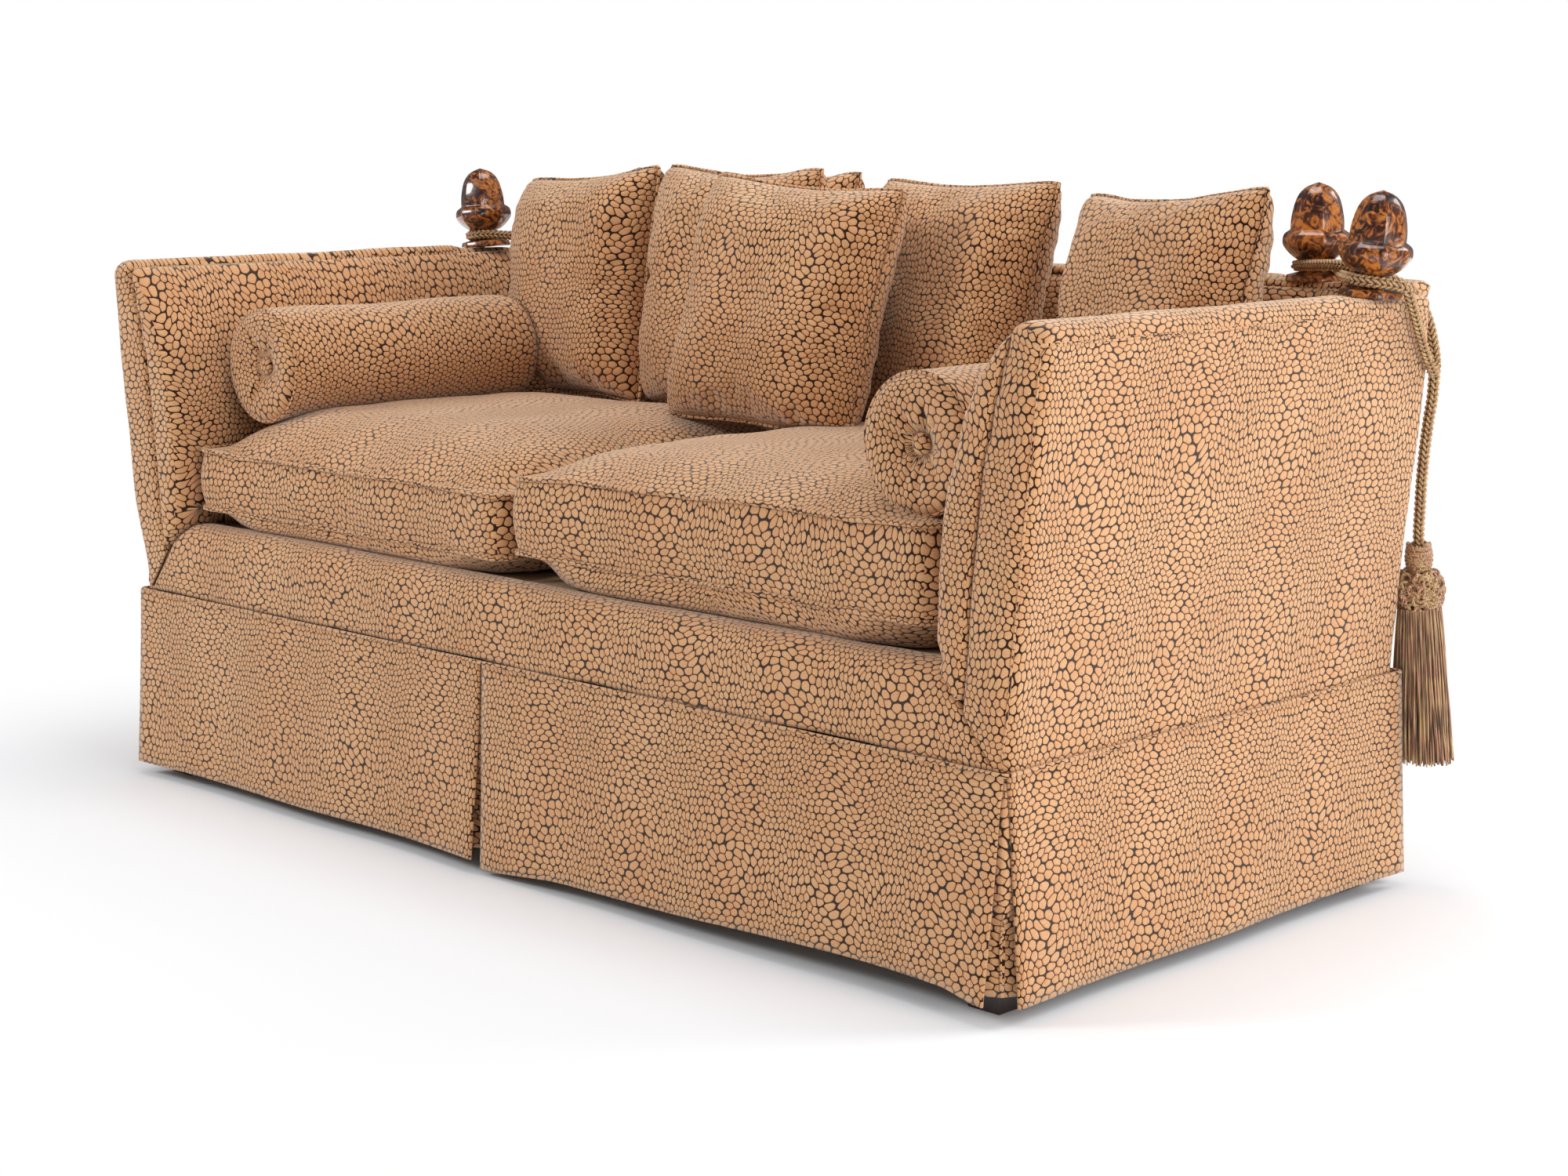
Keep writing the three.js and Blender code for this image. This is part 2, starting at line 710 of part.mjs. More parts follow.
function buildSkirt() {
  const [x, y] = [skirtHalfWidth, skirtHalfDepth];
  const seam = clothThick + softGap;
  const splay = cornerSplay - skirtFlare;
  const pleatLeft = centrePleatX - pleatGap / 2;
  const pleatRight = centrePleatX + pleatGap / 2;
  const front = [0, -1];
  const [seams, splays, half] = [[seam, seam], [splay, splay], pleatSplay / 2];
  add('skirt_front_left', skirtPanel([-x, -y], [pleatLeft, -y], front, [seam, 0], [splay, half], 2), fabric);
  add('skirt_front_right', skirtPanel([pleatRight, -y], [x, -y], front, [0, seam], [half, splay], 2), fabric);
  add('skirt_side_right', skirtPanel([x, -y], [x, y], [1, 0], seams, splays, 2), fabric);
  add('skirt_side_left', skirtPanel([-x, y], [-x, -y], [-1, 0], seams, splays, 2), fabric);
  add('skirt_back', skirtPanel([x, y], [-x, y], [0, 1], seams, splays, 4), fabric);

  // Pleat inserts: cloth behind each opening, bent round the corners
  const set = clothThick + softGap;
  const hem = skirtHem + insertRise;
  const drop = (skirtTop - hem) / (skirtTop - skirtHem);
  const spread = (skirtFlare - hemSway) * drop;
  const [ix, iy] = [x - set, y - set];
  const station = (p, out) => ({ head: p, foot: [p[0] + out[0] * spread, p[1] + out[1] * spread], out });
  const bend = insertThick;
  for (const [end, sy] of [['front', -1], ['rear', 1]]) {
    for (const [hand, sx] of [['left', -1], ['right', 1]]) {
      const corner = (dx, dy) => [sx * (ix - dx), sy * (iy - dy)];
      const stations = [
        station(corner(insertReach, 0), [0, sy]),
        station(corner(bend, 0), [0, sy]),
        station(corner(0, 0), [sx, sy]),
        station(corner(0, bend), [sx, 0]),
        station(corner(0, insertReach), [sx, 0]),
      ];
      stations[1].foot[0] += sx * spread;
      stations[3].foot[1] += sy * spread;
      const ordered = sx * sy < 0 ? stations : stations.reverse();
      add(`pleat_${end}_${hand}`, closed(hangingCloth(ordered, insertThick, railTop, hem, 2)), fabric);
    }
  }
  const middle = [-insertReach, insertReach].map((dx) => station([centrePleatX + dx, -iy], front));
  add('pleat_centre', closed(hangingCloth(middle, insertThick, railTop, hem, 2)), fabric);
}

// Plan outline of a cushion: a rectangle with round corners whose sides draw in between them
function cushionPlan(halfWidth, halfDepth, corner, drawIn) {
  const points = [];
  const sideSteps = 4;
  const cornerSteps = 2;
  const corners = [[1, -1, -Math.PI / 2], [1, 1, 0], [-1, 1, Math.PI / 2], [-1, -1, Math.PI]];
  corners.forEach(([sx, sy, from], side) => {
    for (let i = 0; i <= cornerSteps; i += 1) {
      const turn = from + (i / cornerSteps) * (Math.PI / 2);
      points.push([
        sx * (halfWidth - corner) + corner * Math.cos(turn),
        sy * (halfDepth - corner) + corner * Math.sin(turn),
      ]);
    }
    const start = points[points.length - 1];
    const [nx, ny] = corners[(side + 1) % corners.length];
    const end = [nx * (halfWidth - (side % 2 ? corner : 0)), ny * (halfDepth - (side % 2 ? 0 : corner))];
    for (let i = 1; i < sideSteps; i += 1) {
      const s = i / sideSteps;
      const pull = drawIn * Math.sin(Math.PI * s);
      const x = start[0] + (end[0] - start[0]) * s;
      const y = start[1] + (end[1] - start[1]) * s;
      points.push(side % 2 ? [x, y - Math.sign(y) * pull] : [x - Math.sign(x) * pull, y]);
    }
  });
  return points;
}

// A boxed seat cushion: crowned top, bellied underside that lies flat on the deck
const ringShares = [0.3, 0.6, 0.8, 0.92];
const bellyFullness = 1.25;

function boxCushion({ x, width, seamLow, seamHigh, crown, grow = 0 }) {
  const centreY = cushionDepth / 2 - cushionFront;
  const plan = cushionPlan(width / 2 + grow, cushionDepth / 2 + grow, cushionCorner, cushionDrawIn);
  const ring = (share, z) => plan.map(([px, py]) => [x + px * share, centreY + py * share, z]);
  const rise = (share) => 1 - share ** 5;
  const floor = deckTop + softGap - grow;
  const belly = seamLow - floor;
  const side = 1 + cushionDrawIn / width;
  const rings = [
    ...ringShares.map((s) => ring(s, seamLow - belly * Math.min(1, bellyFullness * rise(s)))),
    ring(1, seamLow),
    ring(side, (seamLow + seamHigh) / 2),
    ring(1, seamHigh + grow),
    ...ringShares.slice().reverse().map((s) => ring(s, seamHigh + grow + crown * rise(s))),
  ];
  return skin(rings, [x, centreY, floor], [x, centreY, seamHigh + grow + crown]);
}

const leftSeamLow = deckTop + leftBelly;
const rightSeamLow = deckTop + rightBelly;
const leftCushionEnd = -deckShoulder + leftEndGap;
const rightCushionEnd = deckShoulder - rightEndGap;
const seatCushions = {
  seat_cushion_left: {
    x: (leftCushionEnd + cushionGapX - fitGap) / 2,
    width: cushionGapX - fitGap - leftCushionEnd,
    seamLow: leftSeamLow,
    seamHigh: leftSeamLow + leftBox,
    crown: leftCrown,
  },
  seat_cushion_right: {
    x: (rightCushionEnd + cushionGapX + cushionJoin) / 2,
    width: rightCushionEnd - cushionGapX - cushionJoin,
    seamLow: rightSeamLow,
    seamHigh: rightSeamLow + rightBox,
    crown: rightCrown,
  },
};

// A bolster along Y: round ends gathered into a dimple that holds a covered button
const buttonSeatShare = 0.62;
const bolsterShares = [[0.2, buttonSeatShare], [0.24, 0.34], [0.5, 0.1], [0.78, 0.02], [0.93, 0.3], [1, 1.1]];

function bolsterForm(x, front, grow = 0) {
  const r = bolsterRadius + grow;
  const profile = [];
  const end = bolsterShares.map(([out, inShare]) => [out * r, inShare * bolsterDimple]);
  const start = -front - grow;
  const stop = bolsterLength - front + grow;
  profile.push([0, start + buttonSeatShare * bolsterDimple]);
  end.forEach(([radius, depth]) => profile.push([radius, start + depth]));
  end.slice().reverse().forEach(([radius, depth]) => profile.push([radius, stop - depth]));
  profile.push([0, stop - buttonSeatShare * bolsterDimple]);
  const lathe = new THREE.LatheGeometry(profile.map(([radius, y]) => new THREE.Vector2(radius, y)), 20);
  return lathe.translate(x, 0, bolsterHeight);
}

function buildBolsters(cushionTools) {
  const forms = {};
  for (const [hand, side, front] of [['left', -1, leftBolsterFront], ['right', 1, rightBolsterFront]]) {
    const form = cut(bolsterForm(side * bolsterX, front), ...cushionTools);
    add(`bolster_${hand}`, form, fabric);
    forms[hand] = bolsterForm(side * bolsterX, front, softGap);
    const half = buttonThick / 2;
    const button = new THREE.SphereGeometry(buttonRadius, 10, 6).scale(1, half / buttonRadius, 1);
    const seat = -front + buttonSeatShare * bolsterDimple;
    const placed = button.translate(side * bolsterX, seat, bolsterHeight);
    const cap = cut(placed, bolsterForm(side * bolsterX, front, fitGap));
    add(`bolster_button_${hand}`, cap, fabric);
  }
  return Object.values(forms);
}

// Scatter pillows: knife-edged squares with drawn-in sides, leaning back in the order they were placed.
// Each centre is given as shares of the half width, the arm's half depth and the back's height;
// the angles are in degrees
const pillowShares = {
  pillow_back_centre: { at: [-0.2803, 0.8627, 0.9277], yaw: -9, lean: 13, roll: -1 },
  pillow_right_centre: { at: [0.1771, 0.7794, 0.9167], yaw: -8, lean: 14, roll: -1 },
  pillow_left_centre: { at: [-0.2489, 0.6054, 0.9412], yaw: -7, lean: 8, roll: 0 },
  pillow_left: { at: [-0.6592, 0.6569, 0.9179], yaw: -9, lean: 9, roll: -4 },
  pillow_right: { at: [0.6177, 0.7255, 0.913], yaw: -15, lean: 12, roll: -3 },
  pillow_front: { at: [0.0034, 0.3211, 0.9203], yaw: 1, lean: 15, roll: 3 },
};

function pillowForm({ at, yaw, lean, roll }, grow = 0) {
  const half = pillowSide / 2 + grow;
  const plan = cushionPlan(half, half, pillowCorner, pillowDrawIn);
  const swell = (share) => (pillowThick / 2) * (1 - share ** 2.4) ** 0.75 + pillowWelt / 2 + grow;
  const ring = (share, sign) => plan.map(([px, pz]) => [px * share, pz * share, sign * swell(share)]);
  const rings = [
    ...ringShares.map((s) => ring(s, -1)),
    ring(1, -1),
    ring(1, 1),
    ...ringShares.slice().reverse().map((s) => ring(s, 1)),
  ];
  const form = skin(rings, [0, 0, -swell(0)], [0, 0, swell(0)]);
  const place = new THREE.Matrix4().makeRotationFromEuler(new THREE.Euler(
    Math.PI / 2 - THREE.MathUtils.degToRad(lean), 0, 0, 'XYZ'));
  place.multiply(new THREE.Matrix4().makeRotationZ(-THREE.MathUtils.degToRad(roll)));
  place.premultiply(new THREE.Matrix4().makeRotationZ(THREE.MathUtils.degToRad(yaw)));
  place.setPosition(at[0] * skirtHalfWidth, at[1] * armHalfDepth, at[2] * backTop);
  return form.applyMatrix4(place);
}

function buildSoftGoods(pads) {
  const cushionTools = [];
  let placed = null;
  for (const [name, spec] of Object.entries(seatCushions)) {
    const form = boxCushion(spec);
    add(name, placed ? cut(form, placed) : closed(form), fabric);
    placed = boxCushion({ ...spec, grow: softGap });
    cushionTools.push(placed);
  }
  const bolsters = buildBolsters(cushionTools);
  const tools = [...cushionTools, ...bolsters, ...pads];
  for (const [name, place] of Object.entries(pillowShares)) {
    add(name, cut(pillowForm(place), ...tools), fabric);
    tools.push(pillowForm(place, softGap));
  }
}

// Tie rope: from the splice up over the arm, a figure of eight round both necks, and back to the splice
const armRoute = [
  [924, 418, 712], [924, 418, 716], [921.4, 417.7, 733.8], [916, 417.6, 755.1], [908.5, 417.5, 775.7],
  [897.9, 416.9, 794.9], [882.8, 413.8, 811.6], [866.6, 404.8, 822], [846.8, 399.2, 829.5],
  [825.5, 397.9, 834.3], [804, 400.6, 837.2], [782.9, 406.7, 838.5], [762.6, 415.1, 838.2],
  [742.9, 424.7, 837.2], [723.5, 434.9, 835.9], [704.3, 445.5, 834.6], [685.6, 457, 832.8],
  [667.5, 471, 832], [665.4, 493, 831.5], [680.3, 508.9, 831.5], [702.5, 508, 832],
  [718, 491.8, 831.4], [731.7, 474.7, 830.2], [745, 457.3, 829.1], [758.2, 439.7, 827.9],
  [771.3, 422.1, 826.8], [784.4, 404.5, 826], [797.6, 387, 826.3], [810.8, 369.4, 826.9],
  [824, 351.9, 827.7], [837.2, 334.3, 828.5], [850.3, 316.7, 829.2], [863.5, 299.3, 830.3],
  [877.6, 282.4, 831.7], [894.9, 268.8, 830.7], [917, 270.5, 828.7], [932.6, 286.2, 825.9],
  [945.5, 303.8, 820], [945.5, 317.6, 802], [943.6, 330.8, 784.6], [940.9, 344.2, 767.4],
  [938.2, 358.2, 750.7], [935.5, 372.6, 734.4], [933.4, 387.7, 718.5], [931, 404, 704],
];
const tasselRoute = [
  [924, 418, 711.7], [924, 418, 707.7], [922.5, 419, 692], [920, 421, 670], [914, 424, 640],
  [908, 427, 600], [903, 431, 560], [899, 436, 520], [896, 440, 490], [895, 443, 468],
];
const knobShares = [[0, 0.5], [0.1, 0.92], [0.5, 1], [0.9, 0.92], [1, 0.72]];
const headShares = [[0.03, 0.8], [0.14, 0.96], [0.5, 1], [0.86, 0.97], [0.99, 0.86]];
const tasselHang = { head: [895, 443, 467], hem: [903, 460, 167] };

// A round cord along a route: rings carried along it without twist
function tube(route, side) {
  const nodes = route.map(([x, y, z]) => new THREE.Vector3(side * x, y, z));
  const curve = new THREE.CatmullRomCurve3(nodes, false, 'centripetal');
  const points = curve.getPoints((nodes.length - 1) * stepsPerNode);
  const normal = new THREE.Vector3(1, 0, 0);
  const rings = points.map((point, i) => {
    const [before, after] = [points[Math.max(i - 1, 0)], points[Math.min(i + 1, points.length - 1)]];
    const tangent = after.clone().sub(before).normalize();
    normal.addScaledVector(tangent, -normal.dot(tangent)).normalize();
    const across = tangent.clone().cross(normal);
    return Array.from({ length: ropeSides }, (_, k) => {
      const turn = (2 * Math.PI * k) / ropeSides;
      const [c, s] = [(ropeDiameter / 2) * Math.cos(turn), (ropeDiameter / 2) * Math.sin(turn)];
      return point.clone().addScaledVector(normal, c).addScaledVector(across, s).toArray();
    });
  });
  return closed(skin(rings, points[0].toArray(), points[points.length - 1].toArray()));
}

// The left rope follows its finial, which stands a little further back
function leftRoute() {
  const share = (value, from, to) => Math.min(1, Math.max(0, (value - from) / (to - from)));
  return armRoute.map(([x, y, z]) => [
    x,
    y + leftFinialBack * share(y, ropeRearY, ropeFrontY) * share(x, ropeInnerX, ropeOuterX),
    z,
  ]);
}

function buildRope(side, hand) {
  add(`tie_rope_${hand}`, tube(side > 0 ? armRoute : leftRoute(), side), gold);
  add(`tassel_cord_${hand}`, tube(tasselRoute, side), gold);

  const total = knobTall + headTall + fringeTall;
  const axis = tasselHang.head.map((v, i) => (tasselHang.hem[i] - v) / total);
  const at = (drop) => tasselHang.head.map((v, i) => v + axis[i] * drop);
  const ringAt = (drop, rx, ry, flutes = 0) => {
    const [cx, cy, cz] = at(drop);
    const count = 2 * fringeFlutes;
    return Array.from({ length: count }, (_, i) => {
      const turn = (2 * Math.PI * i) / count;
      const pinch = i % 2 ? flutes : 0;
      return [side * cx - side * (rx - pinch) * Math.cos(turn), cy + (ry - pinch) * Math.sin(turn), cz];
    });
  };
  const middle = (drop) => at(drop).map((v, i) => (i ? v : side * v));
  const rings = [];
  knobShares.forEach(([down, out]) => {
    rings.push(ringAt(down * knobTall, out * knobRadius, out * knobRadius));
  });
  headShares.forEach(([down, out]) => {
    rings.push(ringAt(knobTall + down * headTall, out * headRadius, out * headRadius));
  });
  const [lastDown] = headShares[headShares.length - 1];
  const head = skin(rings, middle(0), middle(knobTall + lastDown * headTall));
  add(`tassel_head_${hand}`, closed(side > 0 ? head : flipped(head)), gold);

  const fringeSteps = 4;
  const start = knobTall + headTall + fitGap;
  const fringeRings = [];
  for (let i = 0; i <= fringeSteps; i += 1) {
    const s = i / fringeSteps;
    const rx = fringeTopRadius + (fringeHemRadius - fringeTopRadius) * s;
    const ry = fringeTopRadius + (fringeHemDepth - fringeTopRadius) * s;
    fringeRings.push(ringAt(start + s * (fringeTall - fitGap), rx, ry, s * fluteDepth));
  }
  const fringe = skin(fringeRings, middle(start), middle(total));
  add(`tassel_fringe_${hand}`, closed(side > 0 ? fringe : flipped(fringe)), gold);
}

function flipped(geometry) {
  const order = geometry.index.array;
  for (let i = 0; i < order.length; i += 3) {
    const second = order[i + 1];
    order[i + 1] = order[i + 2];
    order[i + 2] = second;
  }
  return geometry;
}

buildSeatFrame();
buildSeatPlatform();
const backPad = buildBack();
const rightPad = buildArm(1, rightArm, 'right');
const leftPad = buildArm(-1, leftArm, 'left');
buildHinge(1, rightArm, 'right');
buildHinge(-1, leftArm, 'left');
buildSkirt();
buildSoftGoods([backPad, rightPad, leftPad]);
buildRope(1, 'right');
buildRope(-1, 'left');

export default sofa;
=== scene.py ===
import math
import random

import bmesh
import bpy
from mathutils import Matrix, Vector, geometry, noise
from mathutils.bvhtree import BVHTree


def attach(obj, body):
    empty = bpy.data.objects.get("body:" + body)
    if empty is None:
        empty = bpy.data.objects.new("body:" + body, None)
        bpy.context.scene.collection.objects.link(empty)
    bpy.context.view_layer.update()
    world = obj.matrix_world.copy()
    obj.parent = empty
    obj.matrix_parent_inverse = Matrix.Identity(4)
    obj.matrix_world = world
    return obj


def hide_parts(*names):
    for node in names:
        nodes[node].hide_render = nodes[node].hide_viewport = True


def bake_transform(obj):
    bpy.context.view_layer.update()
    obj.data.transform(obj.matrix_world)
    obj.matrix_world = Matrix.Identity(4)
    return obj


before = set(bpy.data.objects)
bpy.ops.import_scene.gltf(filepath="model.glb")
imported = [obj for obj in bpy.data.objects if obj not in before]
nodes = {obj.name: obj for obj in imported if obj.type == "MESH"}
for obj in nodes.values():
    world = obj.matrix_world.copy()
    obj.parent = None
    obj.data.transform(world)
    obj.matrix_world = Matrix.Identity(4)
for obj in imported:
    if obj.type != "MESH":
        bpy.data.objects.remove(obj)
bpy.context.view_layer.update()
scene = bpy.context.scene

# The middle of the skirt's depth lies this far in front of the frame's origin
setBack = -0.05325

xAxis, yAxis, zAxis = Vector((1, 0, 0)), Vector((0, 1, 0)), Vector((0, 0, 1))


# Camera and light

cameraSet = {
    "place": (2.84319, -2.81499, 1.04616),
    "yaw": 44.45,
    "pitch": 9.893,
    "lens": 63.12,
    "sensor": 36.0,
}

lightSet = {
    "worldStrength": 0.50,
    "worldGloss": 0.16,
    "lamps": {
        "lamp_right": {"place": (3.6, -0.5, 1.1), "aim": (0.9, -0.1, 0.3), "size": 1.9, "watts": 47},
        "lamp_behind": {"place": (2.6, 3.2, 3.0), "aim": (0.3, 0.0, 0.5), "size": 2.6, "watts": 110},
        "lamp_front": {"place": (-2.6, -4.0, 3.0), "aim": (-0.3, 0.0, 0.5), "size": 1.5, "watts": 100},
        "lamp_above": {"place": (-0.2, 0.2, 4.2), "aim": (0.0, 0.0, 0.5), "size": 2.6, "watts": 55},
    },
}


def makeCamera():
    data = bpy.data.cameras.new("camera")
    data.sensor_fit = "HORIZONTAL"
    data.sensor_width = cameraSet["sensor"]
    data.lens = cameraSet["lens"]
    data.clip_end = 100
    camera = bpy.data.objects.new("camera", data)
    scene.collection.objects.link(camera)
    camera.location = cameraSet["place"]
    tilt = math.radians(90 - cameraSet["pitch"])
    camera.rotation_euler = (tilt, 0, math.radians(cameraSet["yaw"]))
    scene.camera = camera


def makeLamps():
    for name, lamp in lightSet["lamps"].items():
        data = bpy.data.lights.new(name, "AREA")
        data.shape = "DISK"
        data.size = lamp["size"]
        data.energy = lamp["watts"]
        light = bpy.data.objects.new(name, data)
        scene.collection.objects.link(light)
        light.location = lamp["place"]
        aim = Vector(lamp["aim"]) - Vector(lamp["place"])
        light.rotation_euler = aim.to_track_quat("-Z", "Y").to_euler()


makeCamera()
makeLamps()
print("camera and lamps stand")


# Node helpers

def addNode(tree, kind, inputs=None, **settings):
    node = tree.nodes.new(kind)
    for key, value in settings.items():
        setattr(node, key, value)
    for key, value in (inputs or {}).items():
        if hasattr(value, "is_output"):
            tree.links.new(value, node.inputs[key])
        else:
            node.inputs[key].default_value = value
    return node


def maths(tree, operation, a, b=0.0, c=0.0):
    return addNode(tree, "ShaderNodeMath", operation=operation, inputs={0: a, 1: b, 2: c}).outputs[0]


def vectorMaths(tree, operation, a, b=(0, 0, 0)):
    return addNode(tree, "ShaderNodeVectorMath", operation=operation, inputs={0: a, 1: b}).outputs[0]


def blendColours(tree, factor, a, b):
    return addNode(tree, "ShaderNodeMix", data_type="RGBA", inputs={0: factor, 6: a, 7: b}).outputs[2]


def joinXY(tree, x, y):
    return addNode(tree, "ShaderNodeCombineXYZ", inputs={0: x, 1: y}).outputs[0]


def scaleBy(tree, vector, factor):
    inputs = {0: vector, "Scale": factor}
    return addNode(tree, "ShaderNodeVectorMath", operation="SCALE", inputs=inputs).outputs[0]


def noiseNode(tree, place, scale, detail, flat=False, **more):
    inputs = {"Vector": place, "Scale": scale, "Detail": detail, **more}
    space = "2D" if flat else "3D"
    return addNode(tree, "ShaderNodeTexNoise", noise_dimensions=space, inputs=inputs).outputs


def addBump(tree, shader, strength, distance, height):
    inputs = {"Strength": strength, "Distance": distance, "Height": height}
    bump = addNode(tree, "ShaderNodeBump", inputs=inputs)
    tree.links.new(bump.outputs[0], shader.inputs["Normal"])


def clothPlace(tree):
    return addNode(tree, "ShaderNodeUVMap", uv_map="cloth").outputs[0]


def objectPlace(tree):
    return addNode(tree, "ShaderNodeTexCoord").outputs["Object"]


def rangeOf(tree, value, low, high, outLow=0.0, outHigh=1.0, smooth=False):
    node = addNode(tree, "ShaderNodeMapRange", inputs={0: value, 1: low, 2: high, 3: outLow, 4: outHigh})
    if smooth:
        node.interpolation_type = "SMOOTHSTEP"
    return node.outputs[0]


def newGroup(name, inputs, outputs):
    tree = bpy.data.node_groups.new(name, "ShaderNodeTree")
    for socket, kind, value in inputs:
        made = tree.interface.new_socket(socket, in_out="INPUT", socket_type=kind)
        if value is not None:
            made.default_value = value
    for socket, kind in outputs:
        tree.interface.new_socket(socket, in_out="OUTPUT", socket_type=kind)
    source = tree.nodes.new("NodeGroupInput")
    target = tree.nodes.new("NodeGroupOutput")
    return tree, source.outputs, target.inputs


def useGroup(tree, group, **inputs):
    return addNode(tree, "ShaderNodeGroup", node_tree=group, inputs=inputs).outputs


def newMaterial(name, **fixed):
    material = bpy.data.materials.new(name)
    material.use_nodes = True
    tree = material.node_tree
    shader = tree.nodes["Principled BSDF"]
    for key, value in fixed.items():
        shader.inputs[key].default_value = value
    return material, tree, shader


# Chenille: rounded cells outlined in dark ground, crowded and spread in wavy bands

clothLook = {
    "spacing": 0.0108,
    "jitter": 0.38,
    "drift": {"scale": 12.0, "reach": 0.0085},
    "corner": {"beyond": 0.44, "depth": 1.7},
    "fibre": {"scale": 520.0, "reach": 0.07},
    "ribs": (160, 1000, 0),
    "toneScale": 6.0,
    "bandAcross": {"length": 0.187, "strength": 0.35, "wander": 1.0},
    "bandUp": {"length": 0.262, "strength": 0.20, "wander": 1.1},
    "wanderScale": 4.2,
    "light": (0.66, 0.365, 0.178, 1),
    "warm": (0.60, 0.295, 0.130, 1),
    "pileEdge": (0.020, 0.130),
    "rimEdge": (0.070, 0.220),
    "rim": (0.36, 0.125, 0.034, 1),
    "ground": (0.014, 0.004, 0.002, 1),
    "sheen": {"Sheen Weight": 0.60, "Sheen Roughness": 0.5, "Sheen Tint": (1.0, 0.88, 0.74, 1)},
    "specular": 0.08,
    "bump": 0.0010,
}


# Crowds the cells where the wave falls and spreads them where it rises
def bandShift(tree, place, other, band):
    turn = 2 * math.pi / band["length"]
    slow = {"W": maths(tree, "MULTIPLY", other, clothLook["wanderScale"]), "Detail": 0.0}
    wander = addNode(tree, "ShaderNodeTexNoise", noise_dimensions="1D", inputs=slow).outputs[0]
    phase = maths(tree, "MULTIPLY_ADD", place, turn, maths(tree, "MULTIPLY", wander, 2 * band["wander"]))
    return maths(tree, "MULTIPLY", maths(tree, "SINE", phase), band["strength"] / turn)


def pebbleGroup():
    tree, source, target = newGroup(
        "pebbles",
        [("Cloth", "NodeSocketVector", None), ("Light", "NodeSocketColor", None),
         ("Warm", "NodeSocketColor", None)],
        [("Face", "NodeSocketColor"), ("Edge", "NodeSocketFloat"), ("Ribs", "NodeSocketFloat")],
    )
    cloth = source["Cloth"]
    parts = addNode(tree, "ShaderNodeSeparateXYZ", inputs={0: cloth})
    x, y = parts.outputs[0], parts.outputs[1]
    drift = noiseNode(tree, cloth, clothLook["drift"]["scale"], 0.0, flat=True)["Color"]
    drift = vectorMaths(tree, "SUBTRACT", drift, (0.5, 0.5, 0.5))
    reach = clothLook["drift"]["reach"]
    drift = vectorMaths(tree, "MULTIPLY", drift, (reach, reach, 0))
    shift = joinXY(tree, bandShift(tree, x, y, clothLook["bandAcross"]),
                   bandShift(tree, y, x, clothLook["bandUp"]))
    moved = vectorMaths(tree, "ADD", vectorMaths(tree, "ADD", cloth, shift), drift)
    size = clothLook["spacing"]
    moved = vectorMaths(tree, "DIVIDE", vectorMaths(tree, "MULTIPLY", moved, (1, 1, 0)), (size, size, size))

    # The cells stand in staggered rows, each a little off its place
    half, rise = 0.5, math.sqrt(3) / 2
    parts = addNode(tree, "ShaderNodeSeparateXYZ", inputs={0: moved})
    row = maths(tree, "DIVIDE", parts.outputs[1], rise)
    column = maths(tree, "MULTIPLY_ADD", row, -half, parts.outputs[0])
    row, column = maths(tree, "ROUND", row), maths(tree, "ROUND", column)
    home = joinXY(tree, column, row)
    place = joinXY(tree, maths(tree, "MULTIPLY_ADD", row, half, column), maths(tree, "MULTIPLY", row, rise))
    jitter = clothLook["jitter"]
    nearest = second = 9.0
    shade = 0.5
    for down in (-1, 0, 1):
        for over in (-1, 0, 1):
            cell = vectorMaths(tree, "ADD", home, (over, down, 0))
            chance = addNode(tree, "ShaderNodeTexWhiteNoise", noise_dimensions="2D", inputs={0: cell})
            step = (over + half * down - jitter / 2, rise * down - jitter / 2, 0)
            middle = vectorMaths(tree, "ADD", place, step)
            spot = addNode(tree, "ShaderNodeVectorMath", operation="MULTIPLY_ADD", inputs={
                0: chance.outputs["Color"], 1: (jitter, jitter, 0), 2: middle}).outputs[0]
            away = addNode(tree, "ShaderNodeVectorMath", operation="DISTANCE",
                           inputs={0: spot, 1: moved}).outputs["Value"]
            closer = maths(tree, "LESS_THAN", away, nearest)
            inputs = {0: closer, 2: shade, 3: chance.outputs["Value"]}
            shade = addNode(tree, "ShaderNodeMix", inputs=inputs).outputs[0]
            second = maths(tree, "MAXIMUM", nearest, maths(tree, "MINIMUM", second, away))
            nearest = maths(tree, "MINIMUM", nearest, away)
    corner, fibre = clothLook["corner"], clothLook["fibre"]
    beyond = maths(tree, "MAXIMUM", maths(tree, "SUBTRACT", nearest, corner["beyond"]), 0.0)
    rounded = maths(tree, "SUBTRACT", second, nearest)
    rounded = maths(tree, "SUBTRACT", rounded, maths(tree, "MULTIPLY", beyond, corner["depth"]))
    fray = rangeOf(tree, noiseNode(tree, cloth, fibre["scale"], 2.0, flat=True)[0], 0, 1,
                   -fibre["reach"], fibre["reach"])
    ragged = maths(tree, "ADD", rounded, fray)

    # Fine weft ribs inside the cells
    ribs = noiseNode(tree, vectorMaths(tree, "MULTIPLY", cloth, clothLook["ribs"]), 1.0, 1.0, flat=True)[0]
    tone = noiseNode(tree, cloth, clothLook["toneScale"], 2.0, flat=True)[0]
    warmth = maths(tree, "MULTIPLY_ADD", shade, 0.5, rangeOf(tree, tone, 0.3, 0.7, -0.1, 0.5))
    face = blendColours(tree, warmth, source["Light"], source["Warm"])
    face = scaleBy(tree, face, rangeOf(tree, ribs, 0.25, 0.75, 0.84, 1.10))
    tree.links.new(face, target["Face"])
    tree.links.new(ragged, target["Edge"])
    tree.links.new(ribs, target["Ribs"])
    return tree


pebbles = pebbleGroup()


